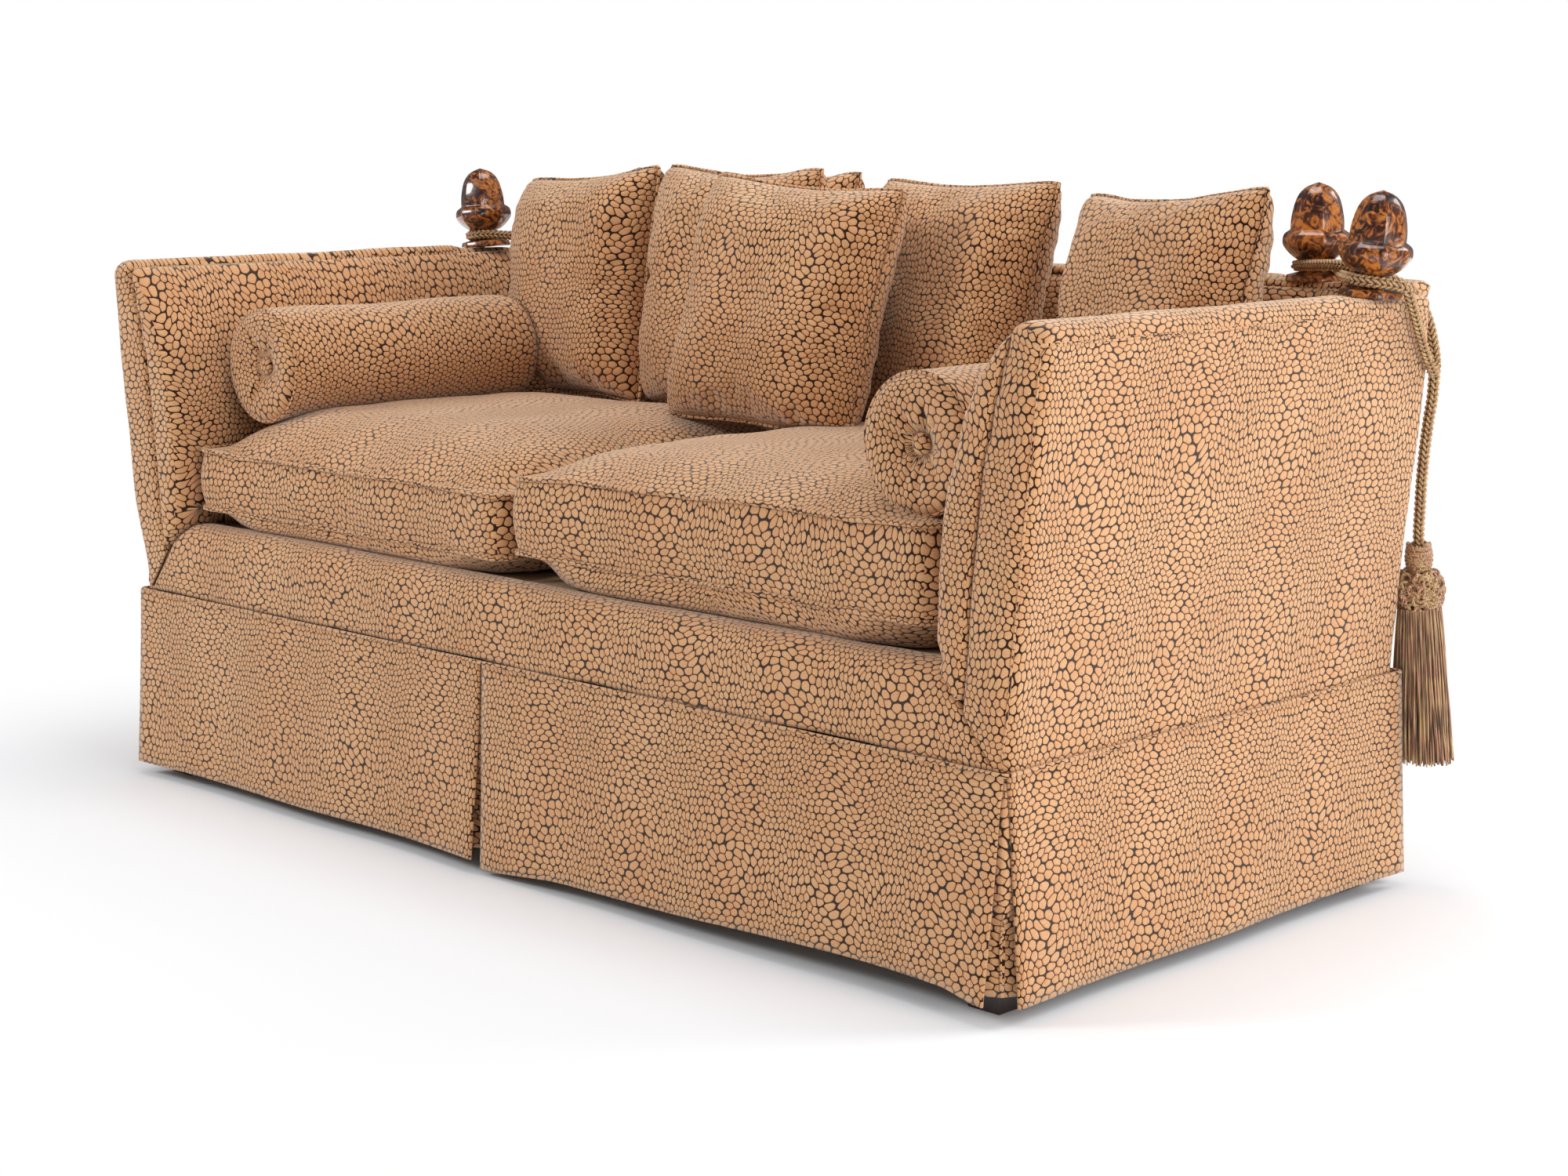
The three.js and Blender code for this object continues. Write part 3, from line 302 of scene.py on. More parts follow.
def clothMaterial():
    fixed = {**clothLook["sheen"], "Specular IOR Level": clothLook["specular"]}
    material, tree, shader = newMaterial("chenille", **fixed)
    out = useGroup(tree, pebbles, Cloth=clothPlace(tree), Light=clothLook["light"], Warm=clothLook["warm"])
    pile = rangeOf(tree, out["Edge"], *clothLook["pileEdge"], smooth=True)
    inner = rangeOf(tree, out["Edge"], *clothLook["rimEdge"], smooth=True)
    tufted = blendColours(tree, inner, clothLook["rim"], out["Face"])
    tree.links.new(blendColours(tree, pile, clothLook["ground"], tufted), shader.inputs["Base Color"])
    tree.links.new(rangeOf(tree, pile, 0, 1, 1.0, 0.74), shader.inputs["Roughness"])
    dome = rangeOf(tree, out["Edge"], -0.05, 0.5, smooth=True)
    addBump(tree, shader, 0.8, clothLook["bump"], maths(tree, "MULTIPLY_ADD", out["Ribs"], 0.14, dome))
    return material


# Plain weave for the lining and the webbing; its colour darkens in the weave's hollows, a painted shade,
# and the slub adds tone that differs at random

def weaveGroup():
    tree, source, target = newGroup(
        "plain_weave",
        [("Cloth", "NodeSocketVector", None), ("Pitch", "NodeSocketFloat", 0.001),
         ("Light", "NodeSocketColor", None), ("Dark", "NodeSocketColor", None)],
        [("Colour", "NodeSocketColor"), ("Height", "NodeSocketFloat")],
    )
    turns = scaleBy(tree, source["Cloth"], maths(tree, "DIVIDE", math.pi, source["Pitch"]))
    parts = addNode(tree, "ShaderNodeSeparateXYZ", inputs={0: turns})
    across = maths(tree, "SINE", parts.outputs[0])
    along = maths(tree, "SINE", parts.outputs[1])
    check = maths(tree, "MULTIPLY", across, along)
    slub = noiseNode(tree, source["Cloth"], 160.0, 2.0)[0]
    height = maths(tree, "ADD", rangeOf(tree, check, -1, 1), maths(tree, "MULTIPLY", slub, 0.6))
    # Painted shade where the weave's height is low, between crossing threads; the slub's share is the
    # yarn's own tone
    colour = blendColours(tree, rangeOf(tree, height, 0.2, 1.3), source["Dark"], source["Light"])
    tree.links.new(colour, target["Colour"])
    tree.links.new(height, target["Height"])
    return tree


plainWeave = weaveGroup()


def weaveMaterial(name, pitch, light, dark, bumpDistance):
    material, tree, shader = newMaterial(name, Roughness=0.95)
    out = useGroup(tree, plainWeave, Cloth=clothPlace(tree), Pitch=pitch, Light=light, Dark=dark)
    tree.links.new(out["Colour"], shader.inputs["Base Color"])
    addBump(tree, shader, 0.7, bumpDistance, out["Height"])
    return material


# Wood grain along one axis, for the rails, frames and feet

def grainGroup():
    tree, source, target = newGroup(
        "wood_grain",
        [("Place", "NodeSocketVector", None), ("Light", "NodeSocketColor", None),
         ("Dark", "NodeSocketColor", None)],
        [("Colour", "NodeSocketColor"), ("Height", "NodeSocketFloat")],
    )
    rings = noiseNode(tree, source["Place"], 1.0, 4.0, Distortion=0.6)[0]
    pores = noiseNode(tree, vectorMaths(tree, "MULTIPLY", source["Place"], (6, 6, 6)), 1.0, 2.0)[0]
    mixed = maths(tree, "ADD", maths(tree, "MULTIPLY", rings, 0.75), maths(tree, "MULTIPLY", pores, 0.25))
    tree.links.new(blendColours(tree, rangeOf(tree, mixed, 0.35, 0.65), source["Dark"], source["Light"]),
                   target["Colour"])
    tree.links.new(mixed, target["Height"])
    return tree


woodGrain = grainGroup()


def woodMaterial(name, stretch, light, dark, roughness, coat=0.0):
    material, tree, shader = newMaterial(name, **{"Coat Weight": coat, "Coat Roughness": 0.25})
    inputs = {"Vector": objectPlace(tree), "Scale": stretch}
    mapped = addNode(tree, "ShaderNodeMapping", inputs=inputs).outputs[0]
    out = useGroup(tree, woodGrain, Place=mapped, Light=light, Dark=dark)
    tree.links.new(out["Colour"], shader.inputs["Base Color"])
    tree.links.new(rangeOf(tree, out["Height"], 0.3, 0.7, roughness + 0.08, roughness - 0.08),
                   shader.inputs["Roughness"])
    addBump(tree, shader, 0.4, 0.0006, out["Height"])
    return material


# Finials: mottled amber and dark brown under a gloss lacquer

lacquerLook = {
    "amber": (0.54, 0.175, 0.024, 1),
    "brown": (0.095, 0.017, 0.004, 1),
    "black": (0.016, 0.004, 0.002, 1),
}


def lacquerMaterial():
    material, tree, shader = newMaterial("mottled_lacquer", **{
        "Coat Weight": 1.0, "Coat Roughness": 0.05, "Coat IOR": 1.45, "Roughness": 0.3})
    place = objectPlace(tree)
    blots = noiseNode(tree, place, 58.0, 4.0, Roughness=0.55, Distortion=2.2)[0]
    broad = noiseNode(tree, place, 32.0, 1.0)[0]
    mixed = maths(tree, "ADD", maths(tree, "MULTIPLY", blots, 0.7), maths(tree, "MULTIPLY", broad, 0.3))
    amber = blendColours(tree, rangeOf(tree, mixed, 0.47, 0.60), lacquerLook["brown"], lacquerLook["amber"])
    colour = blendColours(tree, rangeOf(tree, mixed, 0.40, 0.49), lacquerLook["black"], amber)
    tree.links.new(colour, shader.inputs["Base Color"])
    return material


# Gold cord and thread; the plait's columns of slanted stitches darken where they dip, a painted shade in
# the grooves between stitches
plaitSet = {
    "diameter": 0.0125,
    "columns": 6,
    "stitch": 0.0078,
    "slant": 0.95,
    "ridge": 0.0023,
}


def plaitGroup():
    tree, source, target = newGroup("plait", [("Cloth", "NodeSocketVector", None)],
                                    [("Dip", "NodeSocketFloat")])
    parts = addNode(tree, "ShaderNodeSeparateXYZ", inputs={0: source["Cloth"]})
    girth = math.pi * plaitSet["diameter"]
    column = maths(tree, "MULTIPLY", parts.outputs[1], plaitSet["columns"] / girth)
    inside = maths(tree, "SUBTRACT", maths(tree, "FRACT", column), 0.5)
    odd = maths(tree, "MODULO", maths(tree, "FLOOR", column), 2.0)
    sign = maths(tree, "MULTIPLY_ADD", odd, 2.0, -1.0)
    slanted = maths(tree, "MULTIPLY", maths(tree, "MULTIPLY", inside, sign), plaitSet["slant"])
    phase = maths(tree, "MULTIPLY_ADD", parts.outputs[0], 1 / plaitSet["stitch"], slanted)
    stitch = maths(tree, "ABSOLUTE", maths(tree, "COSINE", maths(tree, "MULTIPLY", phase, math.pi)))
    wall = maths(tree, "POWER", maths(tree, "MULTIPLY", maths(tree, "ABSOLUTE", inside), 2.0), 4.0)
    # The dip is low between the stitches and at the column walls; it drives the cord's painted shade
    dip = maths(tree, "SUBTRACT", maths(tree, "POWER", stitch, 0.7), maths(tree, "MULTIPLY", wall, 0.6))
    tree.links.new(dip, target["Dip"])
    return tree


plait = plaitGroup()


def threadMaterial(name, light, dark, pink, stretch, plaited=False):
    material, tree, shader = newMaterial(name, **{
        "Sheen Weight": 0.25, "Sheen Roughness": 0.4, "Specular IOR Level": 0.45, "Roughness": 0.5})
    cloth = clothPlace(tree)
    threads = noiseNode(tree, vectorMaths(tree, "MULTIPLY", cloth, stretch), 1.0, 2.0, flat=True)[0]
    patches = noiseNode(tree, cloth, 38.0, 1.0, flat=True)[0]
    tone = blendColours(tree, rangeOf(tree, patches, 0.4, 0.62), light, pink)
    colour = blendColours(tree, rangeOf(tree, threads, 0.36, 0.6), dark, tone)
    if plaited:
        dip = useGroup(tree, plait, Cloth=cloth)["Dip"]
        # Painted shade: the cord darkens to a fifth of its dark thread where the stitches dip
        deep = (dark[0] * 0.2, dark[1] * 0.2, dark[2] * 0.2, 1)
        colour = blendColours(tree, rangeOf(tree, dip, 0.2, 0.75, smooth=True), deep, colour)
    tree.links.new(colour, shader.inputs["Base Color"])
    addBump(tree, shader, 0.6, 0.0004, threads)
    return material


def steelMaterial():
    material, tree, shader = newMaterial("zinc_plate", Metallic=1.0)
    brushed = noiseNode(tree, vectorMaths(tree, "MULTIPLY", objectPlace(tree), (900, 40, 900)), 1.0, 2.0)[0]
    tree.links.new(blendColours(tree, brushed, (0.44, 0.44, 0.45, 1), (0.62, 0.62, 0.63, 1)),
                   shader.inputs["Base Color"])
    tree.links.new(rangeOf(tree, brushed, 0.3, 0.7, 0.34, 0.48), shader.inputs["Roughness"])
    return material


chenille = clothMaterial()
liningCloth = weaveMaterial("lining_cotton", 0.0011, (0.50, 0.37, 0.23, 1), (0.36, 0.26, 0.155, 1), 0.0003)
juteWeb = weaveMaterial("jute_webbing", 0.0024, (0.46, 0.34, 0.19, 1), (0.24, 0.165, 0.085, 1), 0.0006)
beech = woodMaterial("beech", (6, 60, 60), (0.56, 0.40, 0.23, 1), (0.42, 0.27, 0.14, 1), 0.6)
footWood = woodMaterial("dark_stained_foot", (60, 60, 9), (0.040, 0.014, 0.008, 1),
                        (0.012, 0.005, 0.004, 1), 0.32, 0.4)
lacquer = lacquerMaterial()
goldCord = threadMaterial("gold_cord", (0.72, 0.46, 0.20, 1), (0.26, 0.13, 0.05, 1), (0.62, 0.35, 0.17, 1),
                          (900, 260, 0), plaited=True)
goldLoops = threadMaterial("gold_loops", (0.66, 0.42, 0.20, 1), (0.16, 0.08, 0.035, 1),
                           (0.57, 0.31, 0.17, 1), (420, 420, 0))
goldThread = threadMaterial("gold_thread", (0.64, 0.41, 0.20, 1), (0.12, 0.055, 0.026, 1),
                            (0.54, 0.29, 0.165, 1), (420, 16, 0))
steel = steelMaterial()
print("materials are mixed")


# Mesh helpers

def newObject(name, bm, material):
    mesh = bpy.data.meshes.new(name)
    bm.to_mesh(mesh)
    bm.free()
    mesh.materials.append(material)
    mesh.shade_smooth()
    made = bpy.data.objects.new(name, mesh)
    scene.collection.objects.link(made)
    return made


def newPiece(name, bm, material):
    piece = newObject(name, bm, material)
    return piece


def freshGraph():
    graph = bpy.context.evaluated_depsgraph_get()
    graph.update()
    return graph


def bakeModifiers(piece):
    graph = freshGraph()
    mesh = bpy.data.meshes.new_from_object(piece.evaluated_get(graph), preserve_all_data_layers=True,
                                           depsgraph=graph)
    piece.modifiers.clear()
    piece.data = mesh
    return piece


def seat(point):
    return Vector((point[0], point[1] + setBack, point[2]))


def between(value, low, high):
    t = min(1.0, max(0.0, (value - low) / (high - low)))
    return t * t * (3 - 2 * t)


# A grid of cloth whose every point is placed by its two shares; wrapped joins it into a closed tube
def layGrid(name, columns, rows, place, clothSize, material, wrapped=False):
    bm = bmesh.new()
    bmesh.ops.create_grid(bm, x_segments=columns, y_segments=rows, size=1)
    cloth = bm.loops.layers.uv.new("cloth")
    for face in bm.faces:
        for loop in face.loops:
            s, t = (loop.vert.co.x + 1) / 2, (loop.vert.co.y + 1) / 2
            loop[cloth].uv = (s * clothSize[0], t * clothSize[1])
    for vert in bm.verts:
        vert.co = place((vert.co.x + 1) / 2, (vert.co.y + 1) / 2)
    if wrapped:
        bmesh.ops.remove_doubles(bm, verts=bm.verts, dist=0.00001)
        bmesh.ops.holes_fill(bm, edges=bm.edges, sides=0)
        bmesh.ops.recalc_face_normals(bm, faces=bm.faces)
    return newPiece(name, bm, material)


# Points a step apart on one smooth line through the given ones
def smoothRoute(points, step, loop=False):
    count = len(points)
    line = []
    for i in range(count if loop else count - 1):
        if loop:
            before, a, b, after = (points[(i + k) % count] for k in (-1, 0, 1, 2))
        else:
            before, a, b, after = (points[min(max(i + k, 0), count - 1)] for k in (-1, 0, 1, 2))
        line += geometry.interpolate_bezier(a, a + (b - before) / 6, b - (after - a) / 6, b, 12)[:-1]
    line.append(points[0].copy() if loop else points[-1])
    lengths = [0.0]
    for a, b in zip(line, line[1:]):
        lengths.append(lengths[-1] + (b - a).length)
    total = lengths[-1]
    count = max(2, round(total / step))
    even = []
    k = 0
    for i in range(count + 1):
        target = total * i / count
        while k < len(lengths) - 2 and lengths[k + 1] < target:
            k += 1
        span = max(lengths[k + 1] - lengths[k], 1e-9)
        even.append(line[k].lerp(line[k + 1], (target - lengths[k]) / span))
    return even, total


# Directions carried along a route without twist
def carryFrames(points):
    frames = []
    normal = Vector((0.3, 0.2, 1)).normalized()
    for i, point in enumerate(points):
        tangent = (points[min(i + 1, len(points) - 1)] - points[max(i - 1, 0)]).normalized()
        normal = (normal - tangent * normal.dot(tangent)).normalized()
        frames.append((point, normal, tangent.cross(normal)))
    return frames


def tubeAlong(name, points, length, radiusAt, sides, material, girthRadius=None):
    frames = carryFrames(points)
    last = len(frames) - 1

    def place(s, t):
        point, normal, across = frames[round(s * last)]
        turn = 2 * math.pi * t
        radius = radiusAt(s * length, t)
        return point + (normal * math.cos(turn) + across * math.sin(turn)) * radius

    girth = 2 * math.pi * (girthRadius or radiusAt(0, 0))
    return layGrid(name, last, sides, place, (length, girth), material, wrapped=True)


# Cords first: the tie ropes and the cords that the tassels hang on

ropeSet = {
    "diameter": plaitSet["diameter"],
    "step": 0.0010,
    "sides": 36,
    "rearY": 0.400,
    "frontY": 0.335,
    "innerX": 0.760,
    "outerX": 0.860,
    "leftBack": 0.022,
    "blendStart": (0.720, 0.450, 0.830),
    "blendEnd": (0.850, 0.400, 0.830),
}

ropeRoute = [
    (0.924, 0.418, 0.712), (0.924, 0.418, 0.716), (0.9214, 0.4177, 0.7338), (0.916, 0.4176, 0.7551),
    (0.9085, 0.4175, 0.7757), (0.8979, 0.4169, 0.7949), (0.8828, 0.4138, 0.8116), (0.8666, 0.4048, 0.822),
    (0.8468, 0.3992, 0.8295), (0.8255, 0.3979, 0.8343), (0.804, 0.4006, 0.8372), (0.7829, 0.4067, 0.8385),
    (0.7626, 0.4151, 0.8382), (0.7429, 0.4247, 0.8372), (0.7235, 0.4349, 0.8359), (0.7043, 0.4455, 0.8346),
    (0.6856, 0.457, 0.8328), (0.6675, 0.471, 0.832), (0.6654, 0.493, 0.8315), (0.6803, 0.5089, 0.8315),
    (0.7025, 0.508, 0.832), (0.718, 0.4918, 0.8314), (0.7317, 0.4747, 0.8302), (0.745, 0.4573, 0.8291),
    (0.7582, 0.4397, 0.8279), (0.7713, 0.4221, 0.8268), (0.7844, 0.4045, 0.826), (0.7976, 0.387, 0.8263),
    (0.8108, 0.3694, 0.8269), (0.824, 0.3519, 0.8277), (0.8372, 0.3343, 0.8285), (0.8503, 0.3167, 0.8292),
    (0.8635, 0.2993, 0.8303), (0.8776, 0.2824, 0.8317), (0.8949, 0.2688, 0.8307), (0.917, 0.2705, 0.8287),
    (0.9326, 0.2862, 0.8259), (0.9455, 0.3038, 0.82), (0.9455, 0.3176, 0.802), (0.9436, 0.3308, 0.7846),
    (0.9409, 0.3442, 0.7674), (0.9382, 0.3582, 0.7507), (0.9355, 0.3726, 0.7344), (0.9334, 0.3877, 0.7185),
    (0.931, 0.404, 0.704),
]

tasselCordRoute = [
    (0.924, 0.418, 0.7117), (0.924, 0.418, 0.7077), (0.9225, 0.419, 0.692), (0.92, 0.421, 0.67),
    (0.914, 0.424, 0.64), (0.908, 0.427, 0.6), (0.903, 0.431, 0.56), (0.899, 0.436, 0.52),
    (0.896, 0.44, 0.49), (0.895, 0.443, 0.468),
]


# Plaited surface: columns of slanted stitches that meet in chevrons
def plaitRadius(along, turn):
    column = turn * plaitSet["columns"]
    inside = column - math.floor(column) - 0.5
    sign = 1 if math.floor(column) % 2 else -1
    phase = along / plaitSet["stitch"] + sign * inside * plaitSet["slant"]
    stitch = abs(math.cos(math.pi * phase)) ** 0.7
    groove = 1 - (2 * abs(inside)) ** 4
    ridge = plaitSet["ridge"]
    return plaitSet["diameter"] / 2 - ridge * 0.9 + ridge * 1.7 * stitch * (0.45 + 0.55 * groove)


def handedRoute(route, side, withFinial):
    points = []
    for x, y, z in route:
        if side < 0 and withFinial:
            down = min(1, max(0, (y - ropeSet["rearY"]) / (ropeSet["frontY"] - ropeSet["rearY"])))
            out = min(1, max(0, (x - ropeSet["innerX"]) / (ropeSet["outerX"] - ropeSet["innerX"])))
            y += ropeSet["leftBack"] * down * out
        points.append(seat((side * x, y, z)))
    return points


def makeRope(side, hand):
    route = handedRoute(ropeRoute, side, True)
    points, length = smoothRoute(route, ropeSet["step"])
    rope = tubeAlong(f"rope_{hand}", points, length, plaitRadius, ropeSet["sides"], goldCord,
                     plaitSet["diameter"] / 2)
    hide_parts(f"tie_rope_{hand}")
    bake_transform(rope)
    hangRoute = handedRoute(tasselCordRoute, side, False)
    points, hangLength = smoothRoute(hangRoute, ropeSet["step"])
    hanger = tubeAlong(f"tassel_hanger_{hand}", points, hangLength, plaitRadius, ropeSet["sides"], goldCord,
                       plaitSet["diameter"] / 2)
    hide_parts(f"tassel_cord_{hand}")
    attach(hanger, f"tassel_{hand}")
    print(f"rope {hand}: {length:.3f} m, tassel hanger {hangLength:.3f} m")
    return hanger, points, hangLength


hangers = {hand: makeRope(side, hand) for side, hand in ((1, "right"), (-1, "left"))}


# Tassel: wrapped knob, looped collar and a skirt of threads

tasselSet = {
    "head": (0.895, 0.443, 0.467),
    "hem": (0.903, 0.460, 0.167),
    "knobRadius": 0.018,
    "knobTall": 0.034,
    "knobTurns": 6,
    "knobCord": 0.0027,
    "heart": 0.0135,
    "collarRadius": 0.033,
    "collarTall": 0.054,
    "fringeTall": 0.212,
    "fringeTop": 0.029,
    "fringeHem": (0.044, 0.032),
    "threads": 460,
    "threadRadius": 0.0011,
    "threadSteps": 7,
    "threadTurn": 0.618034,
    "knobLoops": 54,
    "knobLoopRadius": 0.0046,
    "loops": 120,
    "loopRows": 8,
    "loopTurn": 0.381966,
    "loopRadius": 0.0068,
    "loopThread": 0.0024,
}


def tasselAxis(side):
    head, hem = (seat((side * x, y, z)) for x, y, z in (tasselSet["head"], tasselSet["hem"]))
    down = (hem - head).normalized()
    right = (xAxis - down * xAxis.dot(down)).normalized()
    return head, down, right, down.cross(right)


def makeTasselHead(side, hand):
    head, down, right, back = tasselAxis(side)
    tall, turns = tasselSet["knobTall"], tasselSet["knobTurns"]
    chance = random.Random(11 if side > 0 else 12)
    bm = bmesh.new()
    basis = Matrix((right, back, down)).transposed().to_4x4()

    def ring(centre, radius, thread, spin):
        made = bmesh.ops.create_circle(bm, cap_ends=False, radius=thread, segments=7)
        bmesh.ops.rotate(bm, verts=made["verts"], matrix=Matrix.Rotation(math.pi / 2, 3, "X"))
        bmesh.ops.translate(bm, verts=made["verts"], vec=(radius, 0, 0))
        edges = list({e for v in made["verts"] for e in v.link_edges})
        out = bmesh.ops.spin(bm, geom=made["verts"] + edges, axis=(0, 0, 1), cent=(0, 0, 0), steps=14,
                             angle=2 * math.pi, use_merge=True)
        reach = set(made["verts"]) | {g for g in out["geom_last"] if isinstance(g, bmesh.types.BMVert)}
        grow = list(reach)
        while grow:
            v = grow.pop()
            for e in v.link_edges:
                w = e.other_vert(v)
                if w not in reach:
                    reach.add(w)
                    grow.append(w)
        bmesh.ops.transform(bm, verts=list(reach), matrix=Matrix.Translation(centre) @ spin)

    # The knob: turns of cord wound round one another
    for i in range(turns):
        share = (i + 0.5) / turns
        radius = tasselSet["knobRadius"] * (0.62 + 0.32 * math.sin(math.pi * (0.15 + 0.75 * share)))
        tilt = Matrix.Rotation(chance.uniform(-0.12, 0.12), 4, "X")
        ring(Vector((0, 0, share * tall)), radius, tasselSet["knobCord"], tilt)
    for i in range(tasselSet["knobLoops"]):
        share = (i % turns + chance.uniform(0.2, 0.8)) / turns
        turn = 2 * math.pi * i * tasselSet["loopTurn"]
        out = tasselSet["knobRadius"] * (0.60 + 0.25 * math.sin(math.pi * (0.15 + 0.75 * share)))
        centre = Vector((out * math.cos(turn), out * math.sin(turn), share * tall))
        spin = Matrix.Rotation(turn, 4, "Z") @ Matrix.Rotation(chance.uniform(1.2, 1.9), 4, "Y")
        ring(centre, tasselSet["knobLoopRadius"], tasselSet["loopThread"], spin)

    # The collar: rows of small loops
    rows = tasselSet["loopRows"]
    for i in range(tasselSet["loops"]):
        share = (i % rows + chance.uniform(0.1, 0.9)) / rows
        turn = 2 * math.pi * (i * tasselSet["loopTurn"] + chance.uniform(-0.02, 0.02))
        bulge = math.sin(math.pi * (0.12 + 0.8 * share))
        out = tasselSet["collarRadius"] * (0.62 + 0.24 * bulge)
        centre = Vector((out * math.cos(turn), out * math.sin(turn),
                         tall + 0.004 + share * (tasselSet["collarTall"] - 0.008)))
        spin = Matrix.Rotation(turn, 4, "Z") @ Matrix.Rotation(chance.uniform(0.9, 2.2), 4, "Y")
        spin = spin @ Matrix.Rotation(chance.uniform(-0.9, 0.9), 4, "X")
        ring(centre, tasselSet["loopRadius"], tasselSet["loopThread"], spin)

    # Cores that close the view between the loops
    core = bmesh.ops.create_uvsphere(bm, u_segments=20, v_segments=12, radius=1)["verts"]
    wide = tasselSet["collarRadius"] * 0.86
    bmesh.ops.scale(bm, verts=core, vec=(wide, wide, tasselSet["collarTall"] * 0.5))
    bmesh.ops.translate(bm, verts=core, vec=(0, 0, tall + tasselSet["collarTall"] / 2))
    heart = bmesh.ops.create_uvsphere(bm, u_segments=16, v_segments=10, radius=1)["verts"]
    bmesh.ops.scale(bm, verts=heart, vec=(tasselSet["heart"], tasselSet["heart"], tall * 0.55))
    bmesh.ops.translate(bm, verts=heart, vec=(0, 0, tall / 2))
    bmesh.ops.transform(bm, verts=bm.verts, matrix=Matrix.Translation(head) @ basis)
    bmesh.ops.recalc_face_normals(bm, faces=bm.faces)
    cloth = bm.loops.layers.uv.new("cloth")
    for face in bm.faces:
        for loop in face.loops:
            loop[cloth].uv = (loop.vert.co.x + loop.vert.co.y, loop.vert.co.z)
    piece = newPiece(f"tassel_collar_{hand}", bm, goldLoops)
    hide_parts(f"tassel_head_{hand}")
    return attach(piece, f"tassel_{hand}")


def makeFringe(side, hand):
    head, down, right, back = tasselAxis(side)
    strewn = random.Random(21 if side > 0 else 22)
    curve = bpy.data.curves.new("threads", "CURVE")
    curve.dimensions = "3D"
    curve.bevel_depth = tasselSet["threadRadius"]
    curve.bevel_resolution = 0
    curve.use_fill_caps = True
    start = tasselSet["knobTall"] + tasselSet["collarTall"] - 0.004
    top, (hemX, hemY) = tasselSet["fringeTop"], tasselSet["fringeHem"]
    for i in range(tasselSet["threads"]):
        turn = 2 * math.pi * i * tasselSet["threadTurn"]
        depth = math.sqrt((i + 0.5) / tasselSet["threads"])
        lean = strewn.uniform(-0.12, 0.12)
        length = (tasselSet["fringeTall"] + 0.004) * strewn.uniform(0.955, 1.0)
        stray = strewn.random() < 0.05
        spline = curve.splines.new("POLY")
        steps = tasselSet["threadSteps"]
        spline.points.add(steps)
        wave = strewn.uniform(0, 6.28)
        for k in range(steps + 1):
            s = k / steps
            fan = s ** 0.75
            rx = (top + (hemX - top) * fan) * depth
            ry = (top + (hemY - top) * fan) * depth
            if stray:
                rx, ry = rx * (1 + 0.06 * s), ry * (1 + 0.06 * s)
            angle = turn + lean * s
            wander = 0.0014 * s * math.sin(wave + 5.0 * s)
            point = head + down * (start + s * length)
            point = point + right * (rx * math.cos(angle) + wander) + back * (ry * math.sin(angle) - wander)
            spline.points[k].co = (*point, 1)
    holder = bpy.data.objects.new("threads", curve)
    scene.collection.objects.link(holder)
    mesh = bpy.data.meshes.new_from_object(holder.evaluated_get(freshGraph()))
    bpy.data.objects.remove(holder)
    bm = bmesh.new()
    bm.from_mesh(mesh)
    for layer in list(bm.loops.layers.uv):
        bm.loops.layers.uv.remove(layer)
    cloth = bm.loops.layers.uv.new("cloth")
    for face in bm.faces:
        for loop in face.loops:
            offset = loop.vert.co - head
            loop[cloth].uv = (math.atan2(offset.dot(back), offset.dot(right)) * 0.04, loop.vert.co.z)
    piece = newPiece(f"tassel_threads_{hand}", bm, goldThread)
    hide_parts(f"tassel_fringe_{hand}")
    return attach(piece, f"tassel_{hand}")


for side, hand in ((1, "right"), (-1, "left")):
    hanger, points, hangLength = hangers[hand]
    collar = makeTasselHead(side, hand)
    threads = makeFringe(side, hand)
    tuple(points[0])
print("ropes and tassels hang")


# Finials: turned with eight flats, their edges eased

finialSet = {
    "radius": 0.048,
    "height": 0.1355,
    "sides": 8,
    "ease": 0.0009,
    "step": 0.0026,
    "crease": math.radians(20),
    "sharp": math.radians(13),
    "onBack": (0.690, 0.485, 0.8109),
    "sunk": 0.0051,
    "sections": [
        [(0, 0), (0.86, 0)],
        [(0.86, 0), (0.885, 0.012), (0.88, 0.03), (0.85, 0.066)],
        [(0.85, 0.066), (0.62, 0.085), (0.45, 0.1), (0.385, 0.13), (0.385, 0.17), (0.45, 0.2),
         (0.62, 0.232), (0.81, 0.288), (0.97, 0.36), (1, 0.417), (0.96, 0.475), (0.84, 0.51),
         (0.78, 0.522)],
        [(0.78, 0.522), (0.78, 0.56), (0.765, 0.64), (0.72, 0.727), (0.655, 0.81), (0.565, 0.877),
         (0.45, 0.925), (0.3, 0.962), (0, 1)],
    ],
}

armShape = {
    "pinX": 0.876,
    "pinZ": 0.29585,
    "lean": math.atan(0.051 / 0.515),
    "outer": 0.00695,
    "tall": 0.51836,
    "thick": 0.1285,
    "halfDepth": 0.408,
    "finialIn": 0.032,
    "finialY": {"right": 0.293, "left": 0.315},
}


def armPlace(side):
    turn = Matrix.Rotation(side * armShape["lean"], 4, "Y")
    return Matrix.Translation((side * armShape["pinX"], setBack, armShape["pinZ"])) @ turn


